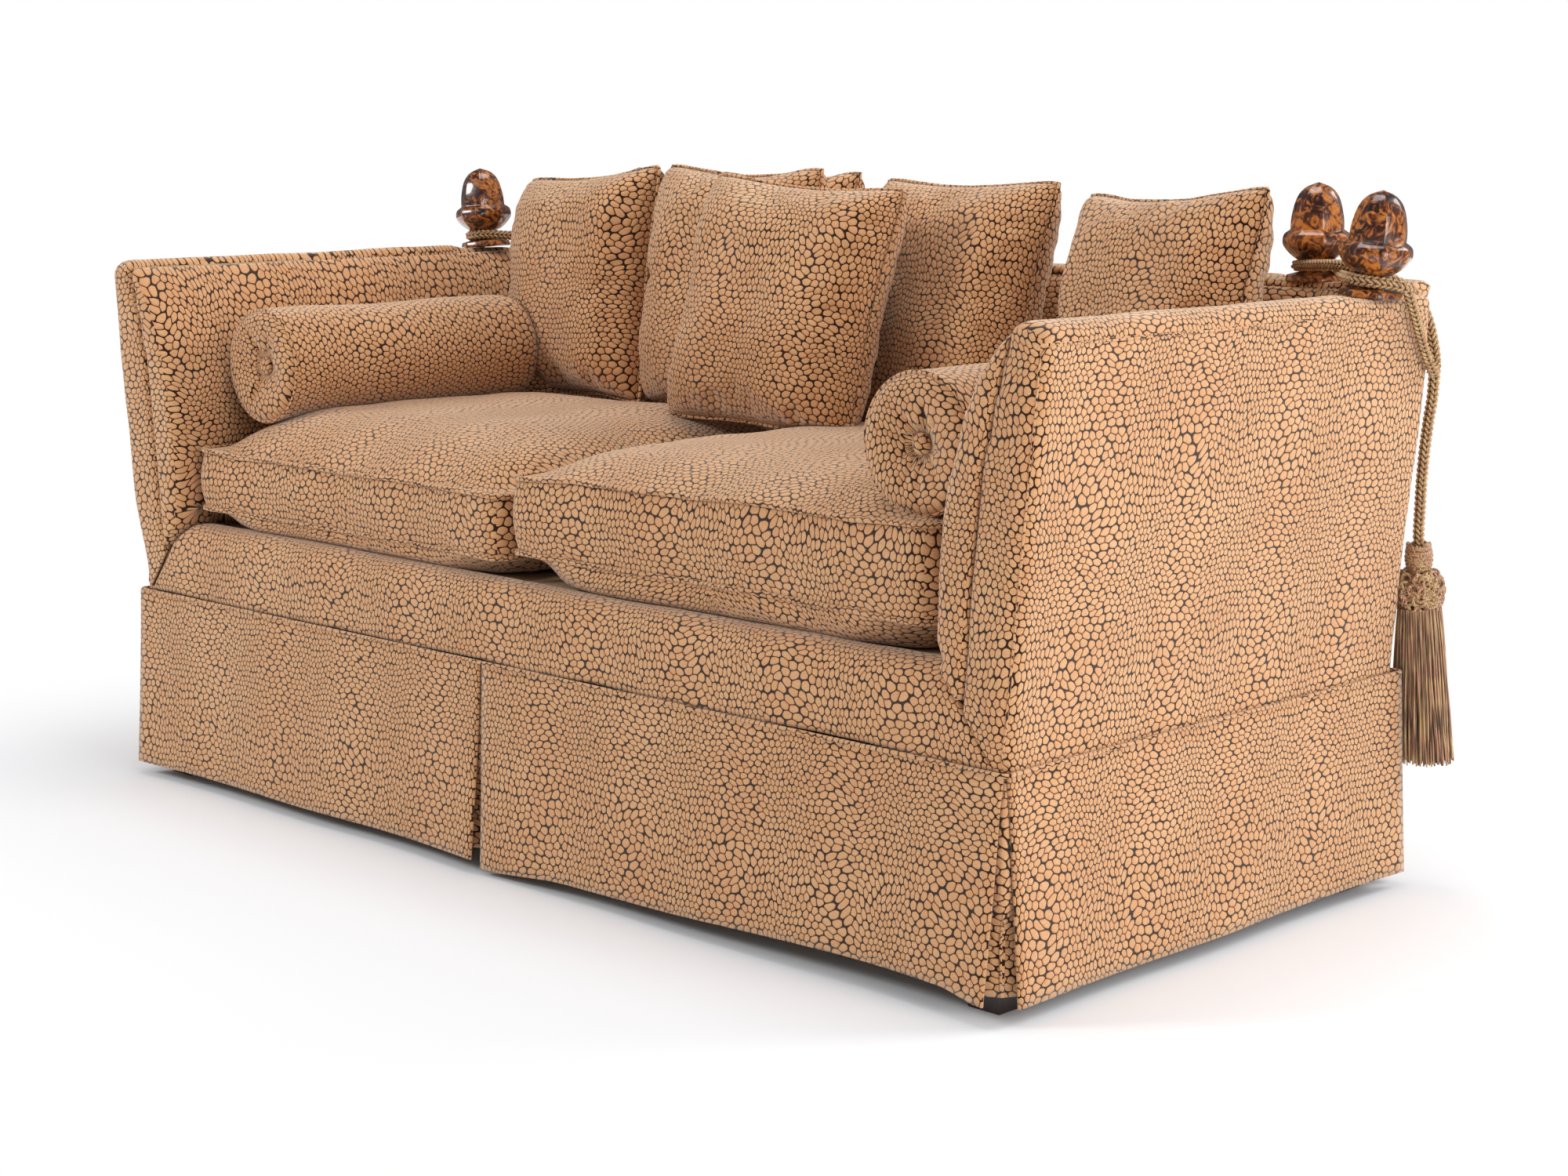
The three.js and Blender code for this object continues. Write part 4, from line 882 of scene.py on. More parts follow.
def makeFinial(name, node, body, place):
    bm = bmesh.new()
    line = []
    for section in finialSet["sections"]:
        corners = [Vector((r * finialSet["radius"], 0, z * finialSet["height"])) for r, z in section]
        points, _ = smoothRoute(corners, finialSet["step"])
        line += [bm.verts.new(p) for p in points[1 if line else 0:]]
    edges = [bm.edges.new(pair) for pair in zip(line, line[1:])]
    bmesh.ops.spin(bm, geom=line + edges, axis=(0, 0, 1), cent=(0, 0, 0), steps=finialSet["sides"],
                   angle=2 * math.pi, use_merge=True)
    bmesh.ops.remove_doubles(bm, verts=bm.verts, dist=0.00001)
    bmesh.ops.recalc_face_normals(bm, faces=bm.faces)
    arrises = [e for e in bm.edges if e.is_manifold and e.calc_face_angle() > finialSet["crease"]]
    bmesh.ops.bevel(bm, geom=arrises, offset=finialSet["ease"], offset_type="OFFSET", segments=2,
                    profile=0.5, affect="EDGES", clamp_overlap=True, material=-1)
    bmesh.ops.transform(bm, verts=bm.verts, matrix=place)
    piece = newPiece(name, bm, lacquer)
    piece.data.set_sharp_from_angle(angle=finialSet["sharp"])
    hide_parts(node)
    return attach(piece, body)


for side, hand in ((1, "right"), (-1, "left")):
    local = Matrix.Translation((side * (armShape["outer"] - armShape["finialIn"]),
                                armShape["finialY"][hand],
                                armShape["tall"] - finialSet["sunk"]))
    makeFinial(f"finial_arm_{hand}", f"arm_finial_{hand}", f"arm_{hand}", armPlace(side) @ local)
    across, deep, high = finialSet["onBack"]
    place = Matrix.Translation(seat((side * across, deep, high)))
    makeFinial(f"finial_back_{hand}", f"back_finial_{hand}", "sofa", place)
print("finials are turned")


# Upholstery helpers

# Lays the cloth's own coordinates on each face, by the panel that the face belongs to
def layCloth(bm, panelOf):
    cloth = bm.loops.layers.uv.get("cloth") or bm.loops.layers.uv.new("cloth")
    for face in bm.faces:
        across, up, offset = panelOf(face.calc_center_median(), face.normal)
        for loop in face.loops:
            co = loop.vert.co
            loop[cloth].uv = (co.dot(across) + offset[0], co.dot(up) + offset[1])


def outlinePrism(bm, outline, axis, low, high):
    ring = [bm.verts.new(Vector(p) + axis * low) for p in outline]
    face = bm.faces.new(ring)
    out = bmesh.ops.extrude_face_region(bm, geom=[face])
    moved = [g for g in out["geom"] if isinstance(g, bmesh.types.BMVert)]
    bmesh.ops.translate(bm, verts=moved, vec=axis * (high - low))
    bmesh.ops.recalc_face_normals(bm, faces=bm.faces)


# An even skin over a form: edges eased, remeshed into small squares and smoothed
def evenSkin(name, bm, ease, voxel, smooth, material):
    piece = newPiece(name, bm, material)
    if ease:
        bevel = piece.modifiers.new("Ease", "BEVEL")
        bevel.width = ease
        bevel.segments = 3
        bevel.limit_method = "ANGLE"
        bevel.angle_limit = math.radians(30)
    remesh = piece.modifiers.new("Even", "REMESH")
    remesh.mode = "VOXEL"
    remesh.voxel_size = voxel
    remesh.use_smooth_shade = True
    relax = piece.modifiers.new("Relax", "SMOOTH")
    relax.factor = 0.5
    relax.iterations = smooth
    return bakeModifiers(piece)


def reworked(piece, work):
    bm = bmesh.new()
    bm.from_mesh(piece.data)
    bm.normal_update()
    work(bm)
    bm.to_mesh(piece.data)
    bm.free()
    piece.data.shade_smooth()
    piece.data.update()
    return piece


# Slow swells and fine puckers, the same on each run
def swell(point, size, height, seed=0.0):
    return height * noise.noise(point / size + Vector((seed, seed * 0.7, -seed)))


# Keeps a piece clear of its neighbours, which dent it where they meet
def pressClear(piece, others, gap, reach):
    graph = freshGraph()
    trees = [BVHTree.FromObject(other, graph) for other in others]
    mesh = piece.data
    for vert in mesh.vertices:
        for tree in trees:
            near, normal, _, _ = tree.find_nearest(vert.co, reach)
            if near is None:
                continue
            side = (vert.co - near).dot(normal)
            if side < gap:
                vert.co = near + normal * gap
    mesh.update()


# Points brought onto a piece's surface and this far off it
def layOn(piece, points, off):
    tree = BVHTree.FromObject(piece, freshGraph())
    laid = []
    for point in points:
        near, normal, _, _ = tree.find_nearest(point)
        laid.append(near + normal * off)
    return laid


# A surface given the thickness of its cloth, inwards unless the offset says otherwise
def thicken(piece, thick, offset=-1):
    wall = piece.modifiers.new("Wall", "SOLIDIFY")
    wall.thickness = thick
    wall.offset = offset
    return bakeModifiers(piece)


def refine(piece):
    fine = piece.modifiers.new("Fine", "SUBSURF")
    fine.levels = 1
    fine.render_levels = 1
    return bakeModifiers(piece)


# Self piping: a thin covered cord sewn into a seam
weltSet = {
    "radius": 0.0028,
    "cushion": 0.0034,
    "proud": 0.0016,
    "sides": 8,
    "step": 0.006,
}


def sewWelt(name, route, body, loop=False, radius=weltSet["radius"]):
    points, length = smoothRoute(route, weltSet["step"], loop)

    def wobble(along, turn):
        return radius * (1 + 0.10 * noise.noise(Vector((along * 60, length, 0.5))))

    welt = tubeAlong(name, points, length, wobble, weltSet["sides"], chenille)
    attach(welt, body)


# Arms: an outside cover with a front border, and the inside pad

armSet = {
    "voxel": 0.0075,
    "ease": 0.024,
    "padEase": 0.022,
    "frontBow": {"left": 0.024, "right": 0.0},
    "seamRadius": 0.0015,
    "footBelow": 0.024,
    "padForward": 0.005,
    "rearEase": 0.012,
    "rearIn": 0.002,
    "wall": 0.0042,
    "foot": 0.0022,
    "footSpring": 0.0033,
    "footSpringHigh": 0.05,
    "weltDown": 0.023,
    "padFace": [(0.36, 0.984), (0.511, 0.9465), (0.701, 0.8737), (0.85, 0.775), (0.922, 0.683),
                (0.98, 0.61), (1, 0.53), (0.99, 0.409), (0.9386, 0.2546), (0.8475, 0.213)],
    "seam": [(0.36, 0.984), (0.46, 0.84), (0.5627, 0.645), (0.565, 0.386), (0.529, 0.2668)],
    "dentRadius": 0.050,
    "dentReach": 0.085,
    "dentDepth": 0.0056,
    "padEndIn": 0.004,
    "rearSlump": 0.006,
}


def ofArm(share):
    return armShape["outer"] - share[0] * armShape["thick"], share[1] * armShape["tall"]


# The line of the arm's foot, a swing gap above the end of the deck
def armFoot(across):
    lean = armShape["lean"]

    def toArm(x, z):
        dx, dz = x - armShape["pinX"], z - armShape["pinZ"]
        return dx * math.cos(lean) - dz * math.sin(lean), dx * math.sin(lean) + dz * math.cos(lean)

    u0, w0 = toArm(0.868, 0.3001)
    u1, w1 = toArm(0.787, 0.403)
    slope = (w1 - w0) / (u1 - u0)
    return w0 + 0.0016 * math.hypot(1, slope) + slope * (across - u0)


def dentFor(point, centre, top):
    away = math.hypot(point.x - centre[0], point.y - centre[1])
    if point.z < top - 0.03:
        return 0
    return armSet["dentDepth"] * (1 - between(away, armSet["dentRadius"], armSet["dentReach"]))


# Rounds the arrises of a box that is open inwards and downwards
def easeBox(point, outer, tall, low, high, radius):
    core = Vector((min(point.x, outer - radius), min(max(point.y, low + radius), high - radius),
                   min(point.z, tall - radius)))
    away = point - core
    return core + away * min(1.0, radius / away.length) if away.length > 0 else point


# Rounds the ends of a pad whose face follows an outline across the arm
def easeEnds(point, outline, low, high, radius):
    over = max(low + radius - point.y, point.y - high + radius)
    if over <= 0:
        return point
    deep, inward = 1.0, None
    for (u0, w0), (u1, w1) in zip(outline, outline[1:]):
        run = Vector((u1 - u0, 0, w1 - w0))
        share = min(1.0, max(0.0, (point - Vector((u0, point.y, w0))).dot(run) / run.length_squared))
        near = Vector((u0, point.y, w0)) + run * share
        if (point - near).length < deep:
            deep = (point - near).length
            inward = Vector((-run.z, 0, run.x)).normalized()
    away = math.hypot(radius - deep, over)
    if deep >= radius or away <= radius:
        return point
    draw = 1 - radius / away
    return point + inward * (radius - deep) * draw - Vector((0, math.copysign(over * draw, point.y), 0))


def seatArm(bm, side):
    for vert in bm.verts:
        vert.co.x *= side
    if side < 0:
        bmesh.ops.reverse_faces(bm, faces=bm.faces)
    bmesh.ops.transform(bm, verts=bm.verts, matrix=armPlace(side))
    bm.normal_update()


def coverArm(side, hand):
    half, outer, tall = armShape["halfDepth"], armShape["outer"], armShape["tall"]
    seam = [ofArm(s) for s in armSet["seam"]]
    finialAt = (outer - armShape["finialIn"], armShape["finialY"][hand])
    seed = 3.0 * side
    lowU = seam[-1][0]
    below = armSet["footBelow"]
    outline = [(outer, 0, armSet["foot"] - below), (outer, 0, tall), (seam[0][0] + 0.006, 0, tall)]
    outline += [(u, 0, w) for u, w in seam]
    outline += [(lowU, 0, armFoot(lowU) - below), (-0.004, 0, armSet["foot"] - below)]
    bm = bmesh.new()
    outlinePrism(bm, outline, yAxis, -half, half)
    cover = evenSkin(f"cover_arm_{hand}", bm, 0, armSet["voxel"], 3, chenille)

    def shapeCover(bm):
        corner = Vector((-0.004, 0, armSet["foot"]))
        slope = Vector((lowU, 0, armFoot(lowU))) - corner
        for normal in (zAxis, Vector((slope.z, 0, -slope.x)).normalized()):
            bmesh.ops.bisect_plane(bm, geom=bm.verts[:] + bm.edges[:] + bm.faces[:], plane_co=corner,
                                   plane_no=normal, clear_inner=True, dist=0.00001)
        for vert in bm.verts:
            ease = armSet["ease"] + (armSet["rearEase"] - armSet["ease"]) * between(vert.co.y, 0.1, 0.37)
            vert.co = easeBox(vert.co, outer, tall, -half, half, ease)
            share = min(1.0, max(0.0, (vert.co.x - lowU) / (outer - lowU)))
            bow = armSet["frontBow"][hand] * between(-vert.co.y, -0.1, half) * between(vert.co.z, 0.0, 0.2)
            vert.co.x += bow * (0.4 + 0.6 * share)
        bm.normal_update()
        for vert in bm.verts:
            p = vert.co
            p.y -= armSet["rearIn"] * between(p.y, 0.15, half)
            top = between(p.z, tall - 0.12, tall)
            p.x -= 0.006 * top * between(p.y, half - 0.12, half)
            p.z -= armSet["rearSlump"] * between(p.y, half - 0.07, half) * between(p.z, tall - 0.10, tall)
            p.z -= dentFor(p, finialAt, tall)
            low = 1 - between(p.z, armSet["foot"], armSet["footSpringHigh"])
            if p.x > -0.002:
                p.x += armSet["footSpring"] * low
            soft = swell(p, 0.16, 0.0026, seed) + swell(p, 0.05, 0.0008, seed)
            vert.co = p + vert.normal * soft * (1 - low)
        bm.normal_update()
        hidden = [f for f in bm.faces
                  if (f.normal.x < -0.5 and f.calc_center_median().x < -0.03
                      and f.calc_center_median().z < tall - 0.03
                      and abs(f.calc_center_median().y) < half - 0.012)
                  or (f.normal.z < -0.4 and f.calc_center_median().z < 0.2)]
        bmesh.ops.delete(bm, geom=hidden, context="FACES")
        for face in bm.faces:
            face.normal_update()
        welt = tall - armSet["weltDown"]

        def panel(centre, normal):
            if abs(normal.y) > 0.75:
                shift = 0.31 if normal.y < 0 else 0.57
                return xAxis, zAxis, (shift + side, 0.21)
            if centre.z > welt and centre.x < outer + 0.01 or normal.z > 0.5:
                return yAxis, Vector((-1, 0, 1)), (1.7 + side, 0.4)
            return yAxis, zAxis, (2.9 + side, 0.0)

        layCloth(bm, panel)
        seatArm(bm, side)

    reworked(cover, shapeCover)
    thicken(cover, armSet["wall"])
    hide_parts(f"arm_outside_cover_{hand}")
    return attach(cover, f"arm_{hand}")


def padArm(side, hand):
    half = armShape["halfDepth"]
    seam = [ofArm(s) for s in armSet["seam"]]
    face = [ofArm(s) for s in armSet["padFace"]]
    seed = 3.0 * side
    outline = [(u, 0, w) for u, w in face]
    padLow = seam[-1][0] - 0.0004
    outline += [(face[-1][0], 0, armFoot(face[-1][0]) + 0.0004), (padLow, 0, armFoot(padLow) + 0.0004)]
    outline += [(u - 0.0004, 0, w) for u, w in reversed(seam[1:])]
    bm = bmesh.new()
    padFront, padRear = -half - armSet["padForward"], half - armSet["padEndIn"] - armSet["rearIn"]
    outlinePrism(bm, outline, yAxis, padFront, padRear)
    pad = evenSkin(f"pad_arm_{hand}", bm, 0, armSet["voxel"], 3, chenille)

    def shapePad(bm):
        for vert in bm.verts:
            vert.co = easeEnds(vert.co, face, padFront, padRear, armSet["padEase"])
        bm.normal_update()
        for vert in bm.verts:
            p = vert.co
            soft = swell(p, 0.14, 0.003, seed + 5) + swell(p, 0.045, 0.001, seed)
            if vert.normal.x < -0.3:
                vert.co = p + vert.normal * (soft + 0.001)

        def panel(centre, normal):
            if abs(normal.y) > 0.8:
                return xAxis, zAxis, (4.31 + side, 0.21)
            return yAxis, Vector((-0.35, 0, 1)), (5.2 + side, 0.4)

        layCloth(bm, panel)
        seatArm(bm, side)

    reworked(pad, shapePad)
    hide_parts(f"arm_inside_pad_{hand}")
    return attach(pad, f"arm_{hand}")


# Piping along the top of the outside and down the front corner
def pipeArm(side, hand, cover):
    half, outer, tall = armShape["halfDepth"], armShape["outer"], armShape["tall"]
    place = armPlace(side)
    high = tall - armSet["weltDown"]
    inset = 0.3 * armSet["ease"]
    route = [(outer, half - 0.03, high - 0.002)]
    route += [(outer, y, high) for y in (0.25, 0.15, 0.05, -0.05, -0.15, -0.25, -half + 0.04)]
    route += [(outer - 0.3 * inset, -half + 1.6 * inset, high - 0.003)]
    drop = (high - 0.03 - armSet["foot"]) / 12
    route += [(outer - inset, -half + inset, high - 0.02 - drop * i) for i in range(13)]
    points = layOn(cover, [place @ Vector((side * u, y, w)) for u, y, w in route], 0.0003)
    sewWelt(f"piping_arm_{hand}", points, f"arm_{hand}", radius=armSet["seamRadius"])


armPads = {}
for side, hand in ((1, "right"), (-1, "left")):
    cover = coverArm(side, hand)
    armPads[hand] = padArm(side, hand)
    pipeArm(side, hand, cover)
print("arms are covered")


# Back: outside cover and inside pad; its ends widen towards the top

backSet = {
    "voxel": 0.008,
    "ease": 0.012,
    "skirtTop": 0.296,
    "deckTop": 0.403,
    "top": 0.816,
    "rearFoot": 0.410,
    "rearTop": 0.525,
    "thickTop": 0.079,
    "thickFoot": 0.108,
    "halfFoot": 0.769,
    "halfTop": 0.850,
    "wall": 0.005,
    "frame": 0.050,
    "footOut": 0.0095,
    "endOut": 0.003,
    "ends": [(0, 0), (0.02, 0.28), (0.1, 0.45), (0.28, 0.58), (0.72, 0.86), (0.95, 0.93), (1, 1)],
}


def backRear(z):
    share = (z - backSet["skirtTop"]) / (backSet["top"] - backSet["skirtTop"])
    return backSet["rearFoot"] + (backSet["rearTop"] - backSet["rearFoot"]) * share


def backFront(z):
    share = (z - backSet["deckTop"]) / (backSet["top"] - backSet["deckTop"])
    return backRear(z) - backSet["thickFoot"] + (backSet["thickFoot"] - backSet["thickTop"]) * share


def backHalf(z):
    share = (z - backSet["deckTop"]) / (backSet["top"] - backSet["deckTop"])
    span = backSet["halfTop"] - backSet["halfFoot"]
    ends = backSet["ends"]
    if share <= 0:
        return backSet["halfFoot"]
    for (outA, upA), (outB, upB) in zip(ends, ends[1:]):
        if share <= upB:
            return backSet["halfFoot"] + span * (outA + (outB - outA) * (share - upA) / (upB - upA))
    return backSet["halfTop"]


def widenEnds(bm):
    for vert in bm.verts:
        vert.co.x *= backHalf(vert.co.z) / backSet["halfTop"]


def makeBack():
    top, low = backSet["top"], backSet["skirtTop"] + 0.0004
    half = backSet["halfTop"]
    within = backSet["frame"] + 0.0082
    outline = [(0, backRear(low), low), (0, backRear(top), top), (0, backFront(top) + 0.002, top),
               (0, backFront(top) + 0.002, top - 0.012), (0, backRear(top - 0.012) - within, top - 0.012),
               (0, backRear(low) - within, low)]
    bm = bmesh.new()
    outlinePrism(bm, outline, xAxis, -half, half)
    cover = evenSkin("cover_back", bm, 0.009, backSet["voxel"], 3, chenille)

    def shapeCover(bm):
        widenEnds(bm)
        for vert in bm.verts:
            p = vert.co
            p.x += math.copysign(backSet["endOut"] * between(abs(p.x), 0.70, 0.80), p.x)
            p.y += backSet["footOut"] * (1 - between(p.z, low, low + 0.12))
            for side in (1, -1):
                p.z -= dentFor(p, (side * finialSet["onBack"][0], finialSet["onBack"][1]), top)
            if vert.normal.y > 0.2 or vert.normal.z > 0.5:
                soft = swell(p, 0.2, 0.0025, 1.3) + swell(p, 0.05, 0.0006, 2.2)
                vert.co = p + vert.normal * soft
        bm.normal_update()
        hidden = [f for f in bm.faces if (f.normal.y < -0.5 and f.calc_center_median().z < top - 0.02)
                  or (f.normal.z < -0.5 and f.calc_center_median().z < low + 0.01)
                  or (f.normal.z < -0.3 and f.calc_center_median().z > top - 0.05)]
        bmesh.ops.delete(bm, geom=hidden, context="FACES")

        def panel(centre, normal):
            if abs(normal.x) > 0.75:
                return yAxis, zAxis, (0.3, 0.7)
            return xAxis, Vector((0, -1, 1)), (7.7, 0.13)

        layCloth(bm, panel)
        bmesh.ops.translate(bm, verts=bm.verts, vec=(0, setBack, 0))

    reworked(cover, shapeCover)
    thicken(cover, backSet["wall"])
    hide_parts("back_outside_cover")
    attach(cover, "sofa")

    low = backSet["deckTop"] + 0.0004
    high = top - 0.0115

    def inner(z):
        return backRear(z) - 0.0088 - backSet["frame"]

    outline = [(0, backFront(low), low), (0, inner(low), low),
               (0, inner(high), high), (0, backFront(high), high)]
    for share in (0.75, 0.5, 0.25):
        z = low + share * (high - low)
        outline.append((0, backFront(z) - 0.012 * math.sin(math.pi * share), z))
    bm = bmesh.new()
    outlinePrism(bm, outline, xAxis, -half, half)
    pad = evenSkin("pad_back", bm, 0.010, backSet["voxel"], 3, chenille)

    def shapePad(bm):
        widenEnds(bm)
        for vert in bm.verts:
            if vert.normal.y < -0.3:
                soft = swell(vert.co, 0.18, 0.003, 4.1) + swell(vert.co, 0.05, 0.0008, 0.4)
                vert.co += vert.normal * soft
        layCloth(bm, lambda centre, normal: (xAxis, Vector((0, 0.3, 1)), (9.1, 0.4)))
        bmesh.ops.translate(bm, verts=bm.verts, vec=(0, setBack, 0))

    reworked(pad, shapePad)
    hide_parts("back_inside_pad")
    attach(pad, "sofa")
    return pad


backPad = makeBack()
print("the back is covered")


# Seat platform: lined deck behind, padded border in front

platformSet = {
    "voxel": 0.0075,
    "front": -0.408,
    "depth": 0.063,
    "low": 0.2964,
    "top": 0.409,
    "noseDrop": 0.040,
    "noseRadius": 0.034,
    "deckLow": 0.2931,
    "deckTop": 0.403,
    "half": 0.868,
    "cushionRest": 0.4034,
}


def platformHalf(z):
    if z < 0.302:
        return 0.882
    return platformSet["half"] - 0.7872 * (z - 0.3001)


def makePlatform():
    shape = platformSet
    front, rear = shape["front"], shape["front"] + shape["depth"]
    outline = [(0, front, shape["low"]), (0, front, shape["top"] - shape["noseDrop"])]
    for i in range(1, 6):
        turn = i / 5 * math.pi / 2
        outline.append((0, front + shape["noseRadius"] * (1 - math.cos(turn)),
                        shape["top"] - shape["noseDrop"] * (1 - math.sin(turn))))
    outline += [(0, rear, shape["top"]), (0, rear, shape["low"])]
    bm = bmesh.new()
    outlinePrism(bm, outline, xAxis, -1, 1)
    bmesh.ops.scale(bm, verts=bm.verts, vec=(shape["half"], 1, 1))
    border = evenSkin("border_front", bm, 0.004, shape["voxel"], 2, chenille)

    def shapeBorder(bm):
        for vert in bm.verts:
            p = vert.co
            p.x *= platformHalf(p.z) / shape["half"]
            if vert.normal.y < -0.2 or vert.normal.z > 0.3:
                soft = swell(p, 0.17, 0.003, 6.4) + swell(p, 0.05, 0.0008, 1.1)
                vert.co = p + vert.normal * soft
        layCloth(bm, lambda centre, normal: (xAxis, Vector((0, 1, 1)), (11.3, 0.9)))
        bmesh.ops.translate(bm, verts=bm.verts, vec=(0, setBack, 0))

    reworked(border, shapeBorder)
    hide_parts("seat_front_border")
    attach(border, "sofa")

    low, high = shape["deckLow"], shape["deckTop"]
    bm = bmesh.new()
    deckRear = backRear(low) - 0.0588
    outline = [(0, rear + 0.0004, low), (0, rear + 0.0004, high), (0, deckRear, high), (0, deckRear, low)]
    outlinePrism(bm, outline, xAxis, -1, 1)
    bmesh.ops.scale(bm, verts=bm.verts, vec=(shape["half"], 1, 1))
    deck = evenSkin("deck_lining", bm, 0.006, 0.012, 2, liningCloth)

    def shapeDeck(bm):
        for vert in bm.verts:
            p = vert.co
            p.x *= platformHalf(max(p.z, 0.3021)) / shape["half"]
            if vert.normal.z > 0.6:
                p.z -= 0.0015 + abs(swell(p, 0.12, 0.003, 0.9))
        layCloth(bm, lambda centre, normal: (xAxis, Vector((0, 1, 0.8)), (0, 0)))
        bmesh.ops.translate(bm, verts=bm.verts, vec=(0, setBack, 0))

    reworked(deck, shapeDeck)
    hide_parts("seat_deck")
    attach(deck, "sofa")
    return border


border = makePlatform()


# Jute webbing: straps woven over and under one another on the rails

webSet = {
    "strap": 0.050,
    "columns": 9,
    "rows": 5,
    "thick": 0.0011,
    "halfX": 0.834,
    "halfY": 0.4042,
    "low": 0.2904,
}


def makeWebbing():
    shape = webSet
    pitchX = (2 * shape["halfX"] - shape["strap"]) / (shape["columns"] - 1)
    pitchY = (2 * shape["halfY"] - shape["strap"]) / (shape["rows"] - 1)
    bm = bmesh.new()
    cloth = bm.loops.layers.uv.new("cloth")

    def strap(count, pitch, half, centre, lengthwise, first):
        made = bmesh.ops.create_grid(bm, x_segments=8 * (count - 1) + 8, y_segments=1, size=1)
        for vert in made["verts"]:
            run, wide = vert.co.x * half, vert.co.y * shape["strap"] / 2
            over = math.cos(math.pi * run / pitch + first * math.pi)
            z = shape["low"] + shape["thick"] * (1.05 + 0.52 * over)
            vert.co = (run, centre + wide, z) if lengthwise else (centre + wide, run, z)
        for face in {f for v in made["verts"] for f in v.link_faces}:
            for loop in face.loops:
                loop[cloth].uv = (loop.vert.co.x, loop.vert.co.y)

    for i in range(shape["rows"]):
        centre = -shape["halfY"] + shape["strap"] / 2 + i * pitchY
        strap(shape["columns"], pitchX, shape["halfX"], centre, True, i)
    for i in range(shape["columns"]):
        centre = -shape["halfX"] + shape["strap"] / 2 + i * pitchX
        strap(shape["rows"], pitchY, shape["halfY"], centre, False, i + 1)
    for face in bm.faces:
        if face.normal.z < 0:
            face.normal_flip()
    bmesh.ops.translate(bm, verts=bm.verts, vec=(0, setBack, 0))
    webbing = newPiece("webbing", bm, juteWeb)
    thicken(webbing, shape["thick"], offset=0)
    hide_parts("seat_webbing")
    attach(webbing, "sofa")


makeWebbing()
print("the seat platform is upholstered")


# Skirt: five lined panels hung from the rails, with inserts behind the openings

skirtSet = {
    "halfX": 0.892,
    "halfY": 0.4125,
    "top": 0.296,
    "hem": 0.0205,
    "flare": 0.014,
    "sway": 0.005,
    "thick": 0.0034,
    "corner": 0.0055,
    "blunt": 0.32,
    "splay": 0.014,
    "kick": 0.007,
    "frontLift": 0.014,
    "middleDrop": 0.012,
    "endLift": 0.002,
    "insertIn": 0.0038,
    "rearSplay": 0.003,
    "rearOut": 0.011,
    "kickReach": 0.22,
    "pleatX": -0.045,
    "pleatGap": 0.005,
    "pleatSplay": 0.004,
    "weltUp": 0.0006,
    "weltTurns": (0.005, 0.009, 0.017, 0.034, 0.07, 0.15),
    "weltRadius": 0.0030,
    "insertRecess": 0.017,
    "tuckReach": 0.030,
    "insertReach": 0.080,
    "insertHem": 0.031,
    "railFoot": 0.150,
    "insertTop": 0.290,
    "insertThick": 0.003,
}


# A panel's two ends are drawn in at its head and foot, and kick out beside an opening
def makePanel(name, node, start, stop, out, headIn, footIn, kicks, folds, seed, lift=0.0, drop=0.0):
    start, stop, out = Vector((*start, 0)), Vector((*stop, 0)), Vector((*out, 0))
    along = (stop - start).normalized()
    span = (stop - start).length
    top, hem = skirtSet["top"], skirtSet["hem"]

    def place(s, t):
        down = 1 - t
        head = headIn[0] + s * (span - headIn[0] - headIn[1])
        foot = footIn[0] + s * (span - footIn[0] - footIn[1])
        sway = skirtSet["sway"] / 2 * (math.cos(2 * math.pi * folds * s) - 1)
        fold = 0.0016 * noise.noise(Vector((s * span * 7, down * 0.8, seed)))
        first = max(0.0, 1 - s * span / skirtSet["kickReach"])
        last = max(0.0, 1 - (1 - s) * span / skirtSet["kickReach"])
        kick = kicks[0] * first ** 2 + kicks[1] * last ** 2
        spread = (skirtSet["flare"] + sway) * down ** 1.15 + kick * down ** 1.6 + fold * down
        blunt = skirtSet["blunt"] * (headIn[0] * (1 - s) + headIn[1] * s) / skirtSet["corner"]
        opened = blunt * between(down, 0.03, 0.16) + (1 - blunt) * down
        point = start + along * (head + (foot - head) * opened) + out * spread
        raised = lift * between(s, 0.2, 0.8) * (1 - 0.7 * between(s, 0.92, 1.0))
        raised -= drop * (1 - between(s, 0.0, 0.2))
        point.z = top + (hem - top) * down + raised * down
        return seat(point)

    columns = max(6, round(span / 0.014))
    piece = layGrid(name, columns, 18, place, (span, top - hem), chenille)

    def faceOut(bm):
        bm.normal_update()
        if sum(f.normal.dot(out) for f in bm.faces) < 0:
            bmesh.ops.reverse_faces(bm, faces=bm.faces)
        cloth = bm.loops.layers.uv["cloth"]
        for face in bm.faces:
            for loop in face.loops:
                loop[cloth].uv = (loop[cloth].uv[0] + seed * 1.37, loop[cloth].uv[1])

    reworked(piece, faceOut)
    thicken(piece, skirtSet["thick"])
    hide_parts(node)
    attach(piece, "sofa")


